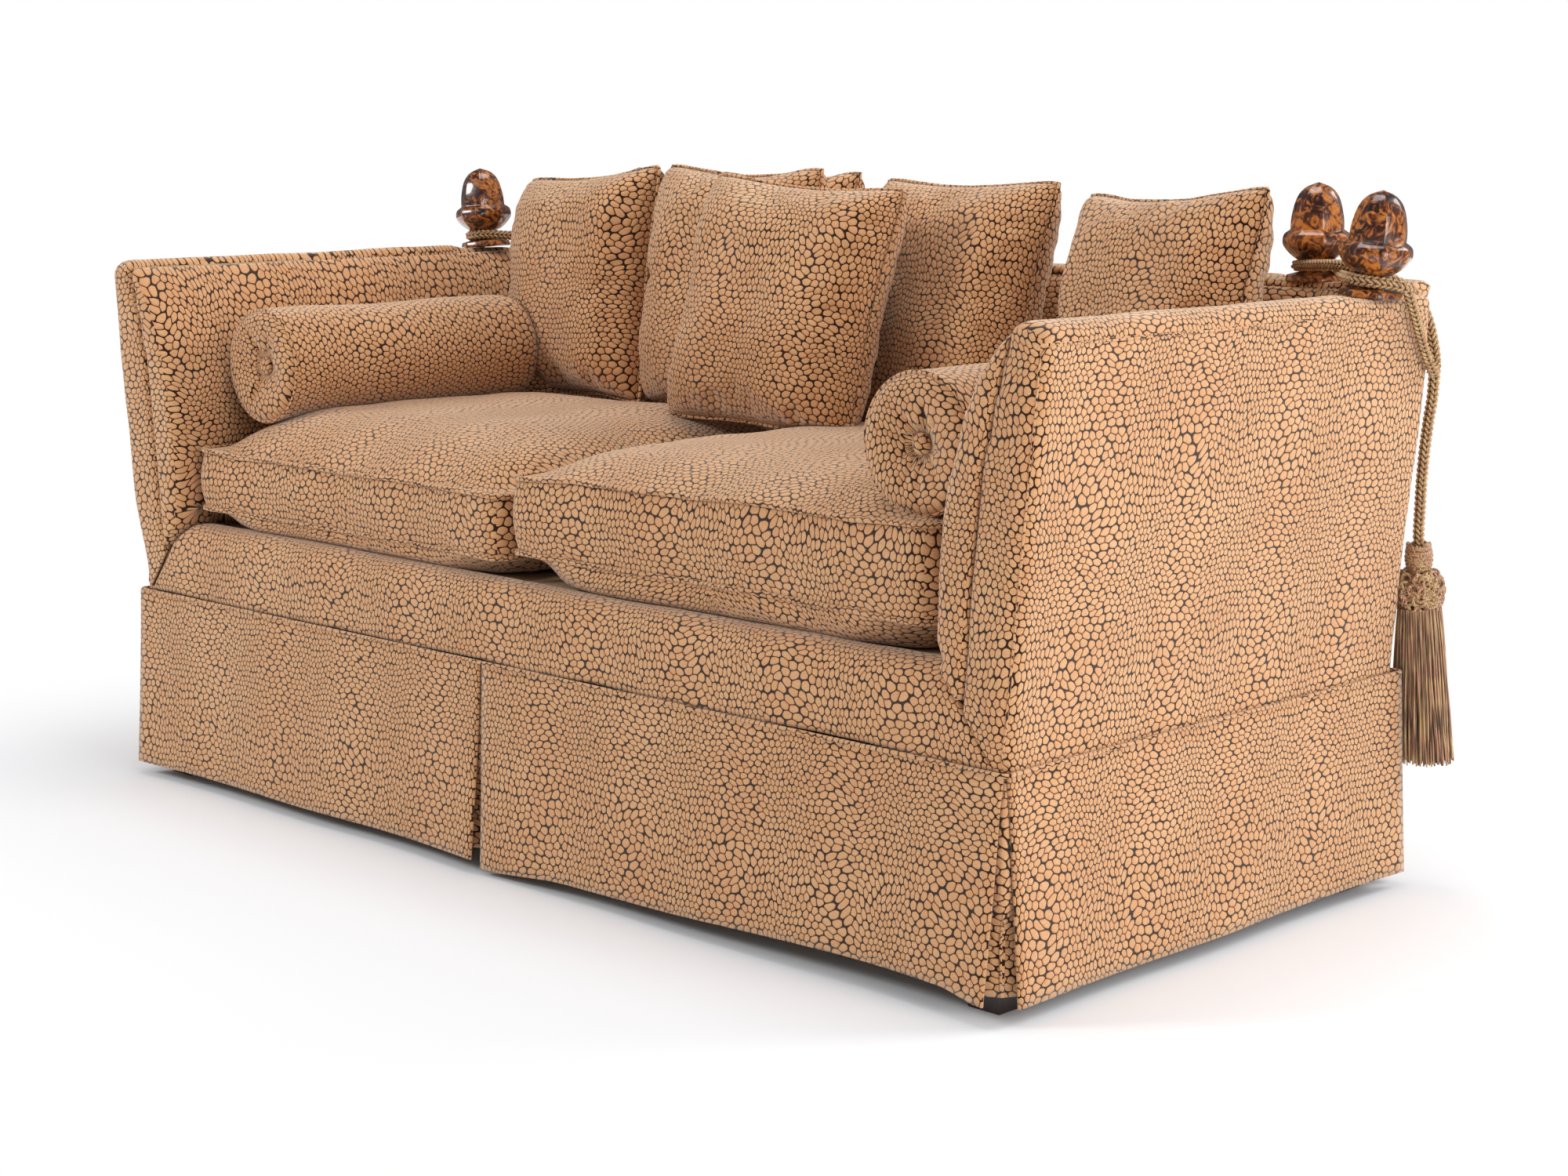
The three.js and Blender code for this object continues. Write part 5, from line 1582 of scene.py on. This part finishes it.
def makeSkirt():
    x, y = skirtSet["halfX"], skirtSet["halfY"]
    seam, splay, fold = skirtSet["corner"], skirtSet["splay"], skirtSet["pleatSplay"]
    kick, ripple = skirtSet["kick"], skirtSet["kick"] / 2
    left = skirtSet["pleatX"] - skirtSet["pleatGap"] / 2
    right = skirtSet["pleatX"] + skirtSet["pleatGap"] / 2
    rearSplay = skirtSet["rearSplay"]
    makePanel("skirt_left_front", "skirt_front_left", (-x, -y), (left, -y), (0, -1),
              [0.003, 0], [0.004, fold], [ripple, kick], folds=2, seed=1)
    makePanel("skirt_right_front", "skirt_front_right", (right, -y), (x, -y), (0, -1),
              [0, seam], [fold, splay], [0, kick], folds=2, seed=2,
              lift=skirtSet["frontLift"], drop=skirtSet["middleDrop"])
    rear = y + skirtSet["rearOut"]
    makePanel("skirt_right_end", "skirt_side_right", (x, -y), (x, rear), (1, 0),
              [seam, seam], [splay, rearSplay], [0, 0], folds=2, seed=3, lift=skirtSet["endLift"])
    makePanel("skirt_left_end", "skirt_side_left", (-x, rear), (-x, -y), (-1, 0),
              [seam, seam], [rearSplay, splay], [0, 0], folds=2, seed=4)
    makePanel("skirt_rear", "skirt_back", (x, rear), (-x, rear), (0, 1),
              [seam, seam], [rearSplay, rearSplay], [0, 0], folds=4, seed=5)
    head = skirtSet["top"] + skirtSet["weltUp"]
    x, front, back = x - 0.0018, -y + 0.0018, rear - 0.0018
    corners = [(x, front), (x, back), (-x, back), (-x, front)]
    route = []
    for (x0, y0), (x1, y1) in zip(corners, corners[1:] + corners[:1]):
        near = [reach / math.hypot(x1 - x0, y1 - y0) for reach in skirtSet["weltTurns"]]
        for share in near + [0.5] + [1 - reach for reach in reversed(near)]:
            route.append(seat((x0 + (x1 - x0) * share, y0 + (y1 - y0) * share, head)))
    sewWelt("piping_skirt", route, "sofa", loop=True, radius=skirtSet["weltRadius"])


# An insert follows its route across the opening, and its foot spreads as the panels do
def makeInsert(name, node, path, seed):
    top, hem = skirtSet["insertTop"], skirtSet["insertHem"]
    spread = (skirtSet["flare"] - skirtSet["sway"]) * (top - hem) / (skirtSet["top"] - skirtSet["hem"])
    points = [Vector((*p, 0)) for p, _ in path]
    outs = [Vector((*o, 0)) for _, o in path]
    lengths = [0.0]
    for a, b in zip(points, points[1:]):
        lengths.append(lengths[-1] + (b - a).length)
    total = lengths[-1]

    def place(s, t):
        down = 1 - t
        target = s * total
        k = 0
        while k < len(lengths) - 2 and lengths[k + 1] < target - 1e-9:
            k += 1
        share = (target - lengths[k]) / (lengths[k + 1] - lengths[k])
        tuck = max(0.0, 1 - abs(target - total / 2) / skirtSet["tuckReach"])
        height = top + (hem - top) * down
        free = 1 - between(height, skirtSet["railFoot"] - 0.05, skirtSet["railFoot"] + 0.002)
        away = spread * down - skirtSet["insertRecess"] * tuck * free
        point = points[k].lerp(points[k + 1], share) + outs[k].lerp(outs[k + 1], share) * away
        point.z = top + (hem - top) * down
        return seat(point)

    piece = layGrid(name, 64, 12, place, (total, top - hem), chenille)

    def faceOut(bm):
        bm.normal_update()
        middle = outs[len(outs) // 2]
        if sum(f.normal.dot(middle) for f in bm.faces) < 0:
            bmesh.ops.reverse_faces(bm, faces=bm.faces)
        cloth = bm.loops.layers.uv["cloth"]
        rows = {}
        for vert in bm.verts:
            across, up = vert.link_loops[0][cloth].uv
            rows.setdefault(round(up * 10000), []).append((across, vert))
        runs = {}
        for row in rows.values():
            row.sort(key=lambda entry: entry[0])
            run = 0.0
            for (_, before), (_, vert) in zip([row[0]] + row, row):
                run += (vert.co - before.co).length
                runs[vert] = run
        for face in bm.faces:
            for loop in face.loops:
                loop[cloth].uv = (runs[loop.vert] + seed * 0.83, loop[cloth].uv[1] + 0.4)

    reworked(piece, faceOut)
    thicken(piece, skirtSet["insertThick"])
    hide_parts(node)
    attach(piece, "sofa")


def makeInserts():
    ix, front = skirtSet["halfX"] - skirtSet["insertIn"], skirtSet["halfY"] - skirtSet["insertIn"]
    reach = skirtSet["insertReach"]
    for end, sy, rail in (("front", -1, "rail_front"), ("rear", 1, "rail_back")):
        iy = front + (skirtSet["rearOut"] if sy > 0 else 0)
        for hand, sx in (("left", -1), ("right", 1)):
            path = [((sx * (ix - reach), sy * iy), (0, sy)), ((sx * (ix - 0.003), sy * iy), (0, sy)),
                    ((sx * ix, sy * (iy - 0.0005)), (sx, sy)), ((sx * ix, sy * (iy - 0.003)), (sx, 0)),
                    ((sx * ix, sy * (iy - reach)), (sx, 0))]
            makeInsert(f"insert_{end}_{hand}", f"pleat_{end}_{hand}", path, 2 + sx + 3 * sy)
    path = [((skirtSet["pleatX"] + across, -front), (0, -1)) for across in (-reach, 0, reach)]
    makeInsert("insert_middle", "pleat_centre", path, 9)


makeSkirt()
makeInserts()
print("the skirt hangs")


# Cushions and pillows

cushionSet = {
    "left": {"x": -0.4080, "width": 0.744, "seamLow": 0.434, "seamHigh": 0.521,
             "rise": 0.0, "crown": 0.064},
    "right": {"x": 0.359, "width": 0.780, "seamLow": 0.448, "seamHigh": 0.553,
              "rise": 0.010, "crown": 0.036},
}

cushionPlan = {
    "front": 0.384,
    "depth": 0.700,
    "corner": 0.034,
    "square": 0.015,
    "drawIn": 0.009,
    "seamRing": 0.006,
    "seamOff": 0.0014,
    "bellyOut": 0.011,
    "sideBulge": 0.008,
    "lowest": 0.4038,
    "neighbourGap": 0.0012,
}


def cutAcross(bm, axis, at):
    bmesh.ops.bisect_plane(bm, geom=bm.verts[:] + bm.edges[:] + bm.faces[:], plane_co=axis * at,
                           plane_no=axis, dist=0.0001)


def gridCut(bm, axis, low, high, square):
    count = max(1, round((high - low) / square))
    for i in range(1, count):
        cutAcross(bm, axis, low + (high - low) * i / count)


def makeCushion(hand):
    shape = cushionSet[hand]
    halfX, halfY = shape["width"] / 2, cushionPlan["depth"] / 2
    centreY = halfY - cushionPlan["front"]
    low, high = shape["seamLow"], shape["seamHigh"]
    half = (high - low) / 2
    bm = bmesh.new()
    bmesh.ops.create_cube(bm, size=2)
    bmesh.ops.scale(bm, verts=bm.verts, vec=(halfX, halfY, half))
    uprights = [e for e in bm.edges if abs(e.verts[0].co.z - e.verts[1].co.z) > 0.01]
    bmesh.ops.bevel(bm, geom=uprights, offset=cushionPlan["corner"], offset_type="OFFSET", segments=5,
                    profile=0.5, affect="EDGES", clamp_overlap=True, material=-1)
    for axis, reach in ((xAxis, halfX), (yAxis, halfY), (zAxis, half)):
        gridCut(bm, axis, -reach, reach, cushionPlan["square"])
    for axis, reach in ((xAxis, halfX), (yAxis, halfY)):
        for way in (-1, 1):
            cutAcross(bm, axis, way * (reach - cushionPlan["seamRing"]))
    bm.normal_update()

    def panel(centre, normal):
        if abs(centre.z) > half - 0.0005:
            return xAxis, yAxis, (shape["x"] * 3, 1.9 + math.copysign(1, centre.z))
        if abs(normal.x) > 0.7:
            return yAxis, zAxis, (13.0 + shape["x"], 0.3)
        return xAxis, zAxis, (14.0 + shape["x"], 0.3)

    layCloth(bm, panel)
    seams = bm.verts.layers.int.new("seam")
    belly = low - platformSet["cushionRest"]
    for vert in bm.verts:
        p = vert.co
        onEdge = abs(abs(p.z) - half) < 0.0002 and any(abs(f.normal.z) < 0.5 for f in vert.link_faces)
        vert[seams] = (1 if p.z > 0 else 2) if onEdge else 0
    for vert in bm.verts:
        p = vert.co
        reachX, reachY = abs(p.x) / halfX, abs(p.y) / halfY
        share = max(reachX, reachY)
        edge = min(1, (reachX ** 6 + reachY ** 6) ** (1 / 6))
        rise = 1 - edge ** 5
        draw = cushionPlan["drawIn"] * share
        pullX = draw * math.cos(p.y / halfY * math.pi / 2) if reachX > reachY * halfY / halfX else 0
        pullY = draw * math.cos(p.x / halfX * math.pi / 2) if reachY >= reachX else 0
        upper = abs(p.z - half) < 0.0002
        lower = abs(p.z + half) < 0.0002
        x = p.x - math.copysign(pullX, p.x)
        y = p.y - math.copysign(pullY, p.y)
        z = p.z + (low + high) / 2
        if upper:
            z += shape["crown"] * rise + shape["rise"] * (p.x / halfX + 1) / 2
        elif lower:
            z -= belly * min(1, 1.25 * (1 - edge ** 36))
            puff = 0 if vert[seams] else cushionPlan["bellyOut"] * between(share, 0.88, 0.975)
            x += math.copysign(puff, p.x) * (reachX > 0.88)
            y += math.copysign(puff, p.y) * (reachY > 0.88)
        else:
            bulge = cushionPlan["sideBulge"] * math.cos(p.z / half * math.pi / 2)
            x += bulge * vert.normal.x
            y += bulge * vert.normal.y
        vert.co = (shape["x"] + x, centreY + y + setBack, z)
    bm.normal_update()
    cloth = bm.loops.layers.uv["cloth"]
    for face in bm.faces:
        if all(v.co.z < low + 0.0005 for v in face.verts):
            for loop in face.loops:
                drop = low - loop.vert.co.z
                across, up = loop[cloth].uv
                loop[cloth].uv = (across - math.copysign(drop, loop.vert.co.x - shape["x"]),
                                  up + math.copysign(drop, -loop.vert.co.y + centreY))
    return newPiece(f"cushion_seat_{hand}", bm, chenille)


fillingFrames = 22


# Pressure swells the covers so that the cloth pulls and puckers; each point moves no further than the cap
def inflate(pieces, caps, pressures, stiff):
    starts = []
    for piece, pressure, tension in zip(pieces, pressures, stiff):
        starts.append([v.co.copy() for v in piece.data.vertices])
        cloth = piece.modifiers.new("Filling", "CLOTH")
        settings = cloth.settings
        settings.quality = 5
        settings.mass = 0.25
        settings.tension_stiffness = tension
        settings.compression_stiffness = tension
        settings.shear_stiffness = tension * 0.4
        settings.bending_stiffness = 0.2
        settings.use_pressure = True
        settings.uniform_pressure_force = pressure
        settings.effector_weights.gravity = 0
        cloth.point_cache.frame_start = 1
        cloth.point_cache.frame_end = fillingFrames
    for number in range(1, fillingFrames + 1):
        scene.frame_set(number)
    for piece, start, cap in zip(pieces, starts, caps):
        bakeModifiers(piece)
        for vert, old in zip(piece.data.vertices, start):
            move = vert.co - old
            if move.length > cap:
                vert.co = old + move * (cap / move.length)
    scene.frame_set(1)


pillowSet = {
    "side": 0.405,
    "thick": 0.136,
    "drawIn": 0.014,
    "round": 0.042,
    "square": 50,
    "places": {
        "back_centre": {"at": (-0.2500, 0.3520, 0.7600), "yaw": -9, "lean": 13, "roll": -1},
        "right_centre": {"at": (0.1600, 0.3200, 0.7600), "yaw": -8, "lean": 14, "roll": -1},
        "left_centre": {"at": (-0.2220, 0.2470, 0.7680), "yaw": -7, "lean": 8, "roll": 0},
        "left": {"at": (-0.5880, 0.2680, 0.7580), "yaw": -9, "lean": 9, "roll": -4, "blunt": 0.045},
        "right": {"at": (0.5570, 0.2970, 0.7480), "yaw": -15, "lean": 12, "roll": -3},
        "front": {"at": (0.0040, 0.1310, 0.7600), "yaw": 1, "lean": 15, "roll": 3},
    },
}


# Two squares of cloth sewn edge to edge and filled: X across, Y up, Z through the thickness
def makePillowForm(name, seed):
    half = pillowSet["side"] / 2
    bm = bmesh.new()
    cloth = bm.loops.layers.uv.new("cloth")
    for face in (1, -1):
        count = pillowSet["square"]
        verts = bmesh.ops.create_grid(bm, x_segments=count, y_segments=count, size=1)["verts"]
        faces = {f for v in verts for f in v.link_faces}
        spots = {v: (round((v.co.x + 1) * count / 2), round((v.co.y + 1) * count / 2)) for v in verts}
        for v in verts:
            x, y = v.co.x, v.co.y
            share = max(abs(x), abs(y))
            corner = pillowSet["round"] * (abs(x) * abs(y)) ** 7
            pull = pillowSet["drawIn"] * share ** 3
            px, py = x * half * (1 - corner), y * half * (1 - corner)
            if x:
                px -= math.copysign(pull * max(0.0, math.cos(y * math.pi / 2)) ** 0.8, x)
            if y:
                py -= math.copysign(pull * max(0.0, math.cos(x * math.pi / 2)) ** 0.8, y)
            full = max(0.0, (1 - abs(x) ** 3.2) * (1 - abs(y) ** 3.2))
            pz = pillowSet["thick"] / 2 * full ** 0.44
            along, ring = (x, y) if abs(y) > abs(x) else (y, x)
            pucker = noise.noise(Vector((along * 11, ring * 2.5, seed + face)))
            pz += 0.0045 * pucker * between(share, 0.62, 0.9) * (1 - between(share, 0.93, 1))
            v.co = (px, py, face * pz)
        rows, columns = {}, {}
        for v, (i, k) in spots.items():
            rows.setdefault(k, []).append((i, v))
            columns.setdefault(i, []).append((k, v))
        lengths = {}
        for lines, part in ((rows, 0), (columns, 1)):
            for line in lines.values():
                line.sort(key=lambda entry: entry[0])
                run = [0.0]
                for (_, a), (_, b) in zip(line, line[1:]):
                    run.append(run[-1] + (b.co - a.co).length)
                for (_, v), along in zip(line, run):
                    lengths.setdefault(v, [0, 0])[part] = along - run[-1] / 2
        for f in faces:
            for loop in f.loops:
                across, up = lengths[loop.vert]
                loop[cloth].uv = (across * face + seed * 2.1 + face * 0.6, up + seed)
        if face < 0:
            bmesh.ops.reverse_faces(bm, faces=list(faces))
    rim = bm.verts.layers.int.new("rim")
    for v in bm.verts:
        v[rim] = int(v.is_boundary)
    bmesh.ops.remove_doubles(bm, verts=[v for v in bm.verts if v.is_boundary], dist=0.0001)
    bm.normal_update()
    return newPiece(name, bm, chenille)


cushions = {hand: makeCushion(hand) for hand in ("left", "right")}
pillowForms = [makePillowForm("pillow_form_a", 0.3), makePillowForm("pillow_form_b", 1.9)]
inflate(list(cushions.values()) + pillowForms, caps=[0.010, 0.010, 0.012, 0.012],
        pressures=[3.0, 3.0, 2.2, 3.2], stiff=[18, 18, 15, 15])


def seamLoop(piece, mark):
    bm = bmesh.new()
    bm.from_mesh(piece.data)
    layer = bm.verts.layers.int["seam"]
    verts = [v for v in bm.verts if v[layer] == mark]
    centre = sum((v.co for v in verts), Vector()) / len(verts)
    ordered = sorted(verts, key=lambda v: math.atan2(v.co.y - centre.y, v.co.x - centre.x))
    points = [v.co + v.normal * cushionPlan["seamOff"] for v in ordered]
    bm.free()
    return points


def finishCushion(hand):
    cushion = cushions[hand]
    for vert in cushion.data.vertices:
        p = vert.co
        soft = swell(p, 0.11, 0.0035, 8.3 + p.x) + swell(p, 0.04, 0.0012, 2.0)
        if vert.normal.z > 0.3:
            p.z += soft
        p.z = max(p.z, cushionPlan["lowest"])
    neighbours = [border] + ([cushions["left"]] if hand == "right" else [])
    pressClear(cushion, neighbours, cushionPlan["neighbourGap"], 0.04)
    pressClear(armPads[hand], [cushion], cushionPlan["neighbourGap"], 0.03)
    for mark, edge in ((1, "upper"), (2, "lower")):
        route = seamLoop(cushion, mark)
        middle = sum(route, Vector()) / len(route)
        route = [p + (p - middle).normalized() * weltSet["proud"] for p in route]
        sewWelt(f"piping_cushion_{hand}_{edge}", route, "sofa", loop=True, radius=weltSet["cushion"])
    refine(cushion)
    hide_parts(f"seat_cushion_{hand}")
    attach(cushion, "sofa")


for hand in ("left", "right"):
    finishCushion(hand)
print("seat cushions are filled")


# Bolsters: a wrapped roll whose ends are gathered under a covered button

bolsterSet = {
    "radius": 0.087,
    "length": {"left": 0.500, "right": 0.560},
    "x": 0.694,
    "z": 0.655,
    "front": {"left": 0.312, "right": 0.354},
    "dimple": 0.016,
    "folds": 9,
    "foldDeep": 0.0075,
    "profile": [(0.05, 1.35), (0.12, 1.30), (0.19, 1.05), (0.27, 0.72), (0.36, 0.46), (0.46, 0.26),
                (0.56, 0.13), (0.66, 0.05), (0.75, 0.02), (0.83, 0.05), (0.89, 0.16), (0.94, 0.36),
                (0.975, 0.66), (1.0, 1.1)],
    "bands": 22,
    "around": 126,
    "capDeep": 0.012,
    "button": 0.0135,
    "buttonThick": 0.007,
    "pipingRadius": 0.985,
    "pipingPoints": 48,
}


def makeBolster(side, hand):
    shape = bolsterSet
    radius = shape["radius"]
    start = -shape["front"][hand]
    stop = start + shape["length"][hand]
    line = [(r * radius, start + d * shape["dimple"]) for r, d in shape["profile"]]
    bands = shape["bands"]
    body = [(radius, line[-1][1] + (stop - 1.1 * shape["dimple"] - line[-1][1]) * i / bands)
            for i in range(1, bands)]
    line = line + body + [(r * radius, stop - d * shape["dimple"]) for r, d in reversed(shape["profile"])]
    lengths = [0.0]
    for (r0, y0), (r1, y1) in zip(line, line[1:]):
        lengths.append(lengths[-1] + math.hypot(r1 - r0, y1 - y0))
    total = lengths[-1]
    chance = random.Random(31 if side > 0 else 32)
    folds = [(2 * math.pi * (i + chance.uniform(-0.3, 0.3)) / shape["folds"],
              shape["foldDeep"] * chance.uniform(0.35, 1), chance.uniform(0.6, 0.98))
             for i in range(shape["folds"])]
    capEnd = lengths[len(shape["profile"]) - 1]

    def place(s, t):
        k = round(s * (len(line) - 1))
        r, y = line[k]
        turn = 2 * math.pi * t
        cap = min(lengths[k], total - lengths[k]) / capEnd
        end = 1 if y < (start + stop) / 2 else -1
        dip = 0.0
        for angle, deep, reach in folds:
            off = (turn - angle + math.pi) % (2 * math.pi) - math.pi
            width = 0.0045 + 0.05 * max(0.0, r - 0.02)
            along = between(cap, 0.08, 0.3) * (1 - between(cap, reach * 0.5, reach))
            dip += deep * math.exp(-(off * r / width) ** 2) * along
        if cap < 1:
            y += end * min(dip, shape["foldDeep"] * 1.3)
        p = Vector((r * math.cos(turn), y, r * math.sin(turn)))
        p.x += side * shape["x"]
        p.z += shape["z"]
        if cap >= 1:
            away = Vector((math.cos(turn), 0, math.sin(turn)))
            p += away * (swell(p, 0.12, 0.004, 3.3 * side) + swell(p, 0.035, 0.0012, side))
        return seat(p)

    roll = layGrid(f"bolster_roll_{hand}", len(line) - 1, shape["around"], place,
                   (total, 2 * math.pi * radius), chenille, wrapped=True)

    def wrapCloth(bm):
        cloth = bm.loops.layers.uv["cloth"]
        for face in bm.faces:
            turns = []
            for loop in face.loops:
                co = loop.vert.co
                turns.append(math.atan2(co.z - shape["z"], co.x - side * shape["x"]))
            wrap = max(turns) - min(turns) > math.pi
            for loop, turn in zip(face.loops, turns):
                if wrap and turn < 0:
                    turn += 2 * math.pi
                co = loop.vert.co
                middle = face.calc_center_median().y - setBack
                if middle < start + shape["capDeep"] or middle > stop - shape["capDeep"]:
                    across, up = co.x - side * shape["x"], co.z - shape["z"]
                    loop[cloth].uv = (1.08 * across + 0.77, 1.08 * up + co.y)
                else:
                    loop[cloth].uv = (turn * radius, co.y)

    reworked(roll, wrapCloth)
    pressClear(roll, [cushions[hand], armPads[hand]], 0.0006, 0.05)
    refine(roll)
    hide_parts(f"bolster_{hand}")
    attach(roll, "sofa")

    bm = bmesh.new()
    bmesh.ops.create_uvsphere(bm, u_segments=28, v_segments=16, radius=1)
    bmesh.ops.rotate(bm, verts=bm.verts, matrix=Matrix.Rotation(math.pi / 2, 3, "X"))
    bmesh.ops.scale(bm, verts=bm.verts, vec=(shape["button"], shape["buttonThick"], shape["button"]))
    centre = seat((side * shape["x"], start + shape["dimple"], shape["z"]))
    bmesh.ops.translate(bm, verts=bm.verts, vec=centre)
    layCloth(bm, lambda centre, normal: (xAxis, zAxis, (0.11, 0.6)))
    button = newPiece(f"button_{hand}", bm, chenille)
    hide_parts(f"bolster_button_{hand}")
    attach(button, "sofa")
    ring = []
    for i in range(shape["pipingPoints"]):
        turn = 2 * math.pi * i / shape["pipingPoints"]
        across, up = math.cos(turn) * shape["pipingRadius"], math.sin(turn) * shape["pipingRadius"]
        ring.append(seat((side * shape["x"] + radius * across, start + 0.7 * shape["dimple"],
                          shape["z"] + radius * up)))
    sewWelt(f"piping_bolster_{hand}", layOn(roll, ring, 0.001), "sofa", loop=True)
    return roll


bolsters = {hand: makeBolster(side, hand) for side, hand in ((1, "right"), (-1, "left"))}
print("bolsters are rolled")


# Scatter pillows, in the order that they were placed

def makePillow(key, form, done, mirror):
    spot = pillowSet["places"][key]
    source = pillowForms[form]
    bm = bmesh.new()
    bm.from_mesh(source.data)
    if mirror:
        for vert in bm.verts:
            vert.co.x *= -1
        bmesh.ops.reverse_faces(bm, faces=bm.faces)
    cloth = bm.loops.layers.uv["cloth"]
    shift = sum(ord(letter) for letter in key) * 0.137
    for face in bm.faces:
        for loop in face.loops:
            loop[cloth].uv = (loop[cloth].uv[0] + shift, loop[cloth].uv[1] - shift)
    rim = bm.verts.layers.int["rim"]
    sewn = sorted((v for v in bm.verts if v[rim]), key=lambda v: math.atan2(v.co.y, v.co.x))
    edge = [v.index for v in sewn]
    for vert in bm.verts:
        p = vert.co
        inward = 1 - (max(abs(p.x), abs(p.y)) / (pillowSet["side"] / 2)) ** 4
        if inward > 0:
            p.z += inward * (swell(p, 0.10, 0.008, shift) + swell(p, 0.035, 0.002, shift))
        lowCorner = between(-p.y, 0.02, 0.2) * between(-p.x, 0.02, 0.2) * spot.get("blunt", 0.0)
        p.x += lowCorner
        p.y += lowCorner
    turn = Matrix.Rotation(math.radians(spot["yaw"]), 4, "Z")
    turn = turn @ Matrix.Rotation(math.radians(90 - spot["lean"]), 4, "X")
    turn = turn @ Matrix.Rotation(-math.radians(spot["roll"]), 4, "Z")
    bmesh.ops.transform(bm, verts=bm.verts, matrix=Matrix.Translation(seat(spot["at"])) @ turn)
    pillow = newPiece(f"pillow_cover_{key}", bm, chenille)
    pressClear(pillow, done, 0.0008, 0.075)
    pillow.data.update()
    points = [pillow.data.vertices[i].co.copy() for i in edge]
    refine(pillow)
    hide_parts(f"pillow_{key}")
    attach(pillow, "sofa")
    sewWelt(f"piping_pillow_{key}", points, "sofa", loop=True)
    return pillow


neighbours = [cushions["left"], cushions["right"], bolsters["left"], bolsters["right"], backPad,
              armPads["left"], armPads["right"]]
pillows = []
for number, key in enumerate(pillowSet["places"]):
    pillows.append(makePillow(key, number % 2, neighbours + pillows, number % 3 == 1))
for form in pillowForms:
    bpy.data.objects.remove(form)
print("pillows are placed")


# Rails, frames, feet and hinges keep their CAD shapes and take their finishes

finishes = (
    (beech, ("rail_front", "rail_back", "rail_side_left", "rail_side_right", "back_frame", "arm_frame_left",
             "arm_frame_right")),
    (footWood, ("foot_front_left", "foot_front_right", "foot_back_left", "foot_back_right")),
    (steel, ("hinge_rail_leaf_left", "hinge_rail_leaf_right", "hinge_arm_leaf_left", "hinge_arm_leaf_right",
             "hinge_pin_left", "hinge_pin_right")),
)
for material, names in finishes:
    for name in names:
        nodes[name].data.materials.clear()
        nodes[name].data.materials.append(material)
print("the frame is finished")


# Stage: a pale floor that keeps the shadow and fades into the white backdrop

stageSet = {
    "radius": 9.0,
    "halfBox": (0.93, 0.45, 0),
    "nearFade": 0.10,
    "farFade": 0.75,
    "paper": {"Base Color": (0.90, 0.92, 0.95, 1), "Roughness": 0.9, "Specular IOR Level": 0.1},
}


def makeFloor():
    material, tree, shader = newMaterial("floor_paper", **stageSet["paper"])
    bm = bmesh.new()
    bmesh.ops.create_circle(bm, cap_ends=True, radius=stageSet["radius"], segments=64)
    floor = newObject("floor", bm, material)
    white = addNode(tree, "ShaderNodeEmission", inputs={"Color": (1, 1, 1, 1), "Strength": 1.0})
    beyond = vectorMaths(tree, "ABSOLUTE", objectPlace(tree))
    beyond = vectorMaths(tree, "SUBTRACT", beyond, stageSet["halfBox"])
    beyond = vectorMaths(tree, "MAXIMUM", beyond, (0, 0, 0))
    reach = addNode(tree, "ShaderNodeVectorMath", operation="LENGTH", inputs={0: beyond}).outputs["Value"]
    rays = addNode(tree, "ShaderNodeLightPath").outputs
    seen = maths(tree, "MAXIMUM", rays["Is Camera Ray"], rays["Is Glossy Ray"])
    fade = rangeOf(tree, reach, stageSet["nearFade"], stageSet["farFade"], smooth=True)
    mix = addNode(tree, "ShaderNodeMixShader", inputs={0: maths(tree, "MULTIPLY", fade, seen)})
    tree.links.new(shader.outputs[0], mix.inputs[1])
    tree.links.new(white.outputs[0], mix.inputs[2])
    tree.links.new(mix.outputs[0], tree.nodes["Material Output"].inputs["Surface"])


def makeBackdrop():
    world = bpy.data.worlds.new("studio")
    scene.world = world
    world.use_nodes = True
    tree = world.node_tree
    back = tree.nodes["Background"]
    back.inputs["Color"].default_value = (1, 1, 1, 1)
    rays = addNode(tree, "ShaderNodeLightPath").outputs
    seen = maths(tree, "MAXIMUM", rays["Is Camera Ray"], rays["Is Transmission Ray"])
    dim = rangeOf(tree, rays["Is Glossy Ray"], 0, 1, lightSet["worldStrength"], lightSet["worldGloss"])
    strength = addNode(tree, "ShaderNodeMix", inputs={0: seen, 2: dim, 3: 1.0}).outputs[0]
    tree.links.new(strength, back.inputs["Strength"])


makeFloor()
makeBackdrop()
scene.view_settings.view_transform = "Standard"
print("the stage is set")
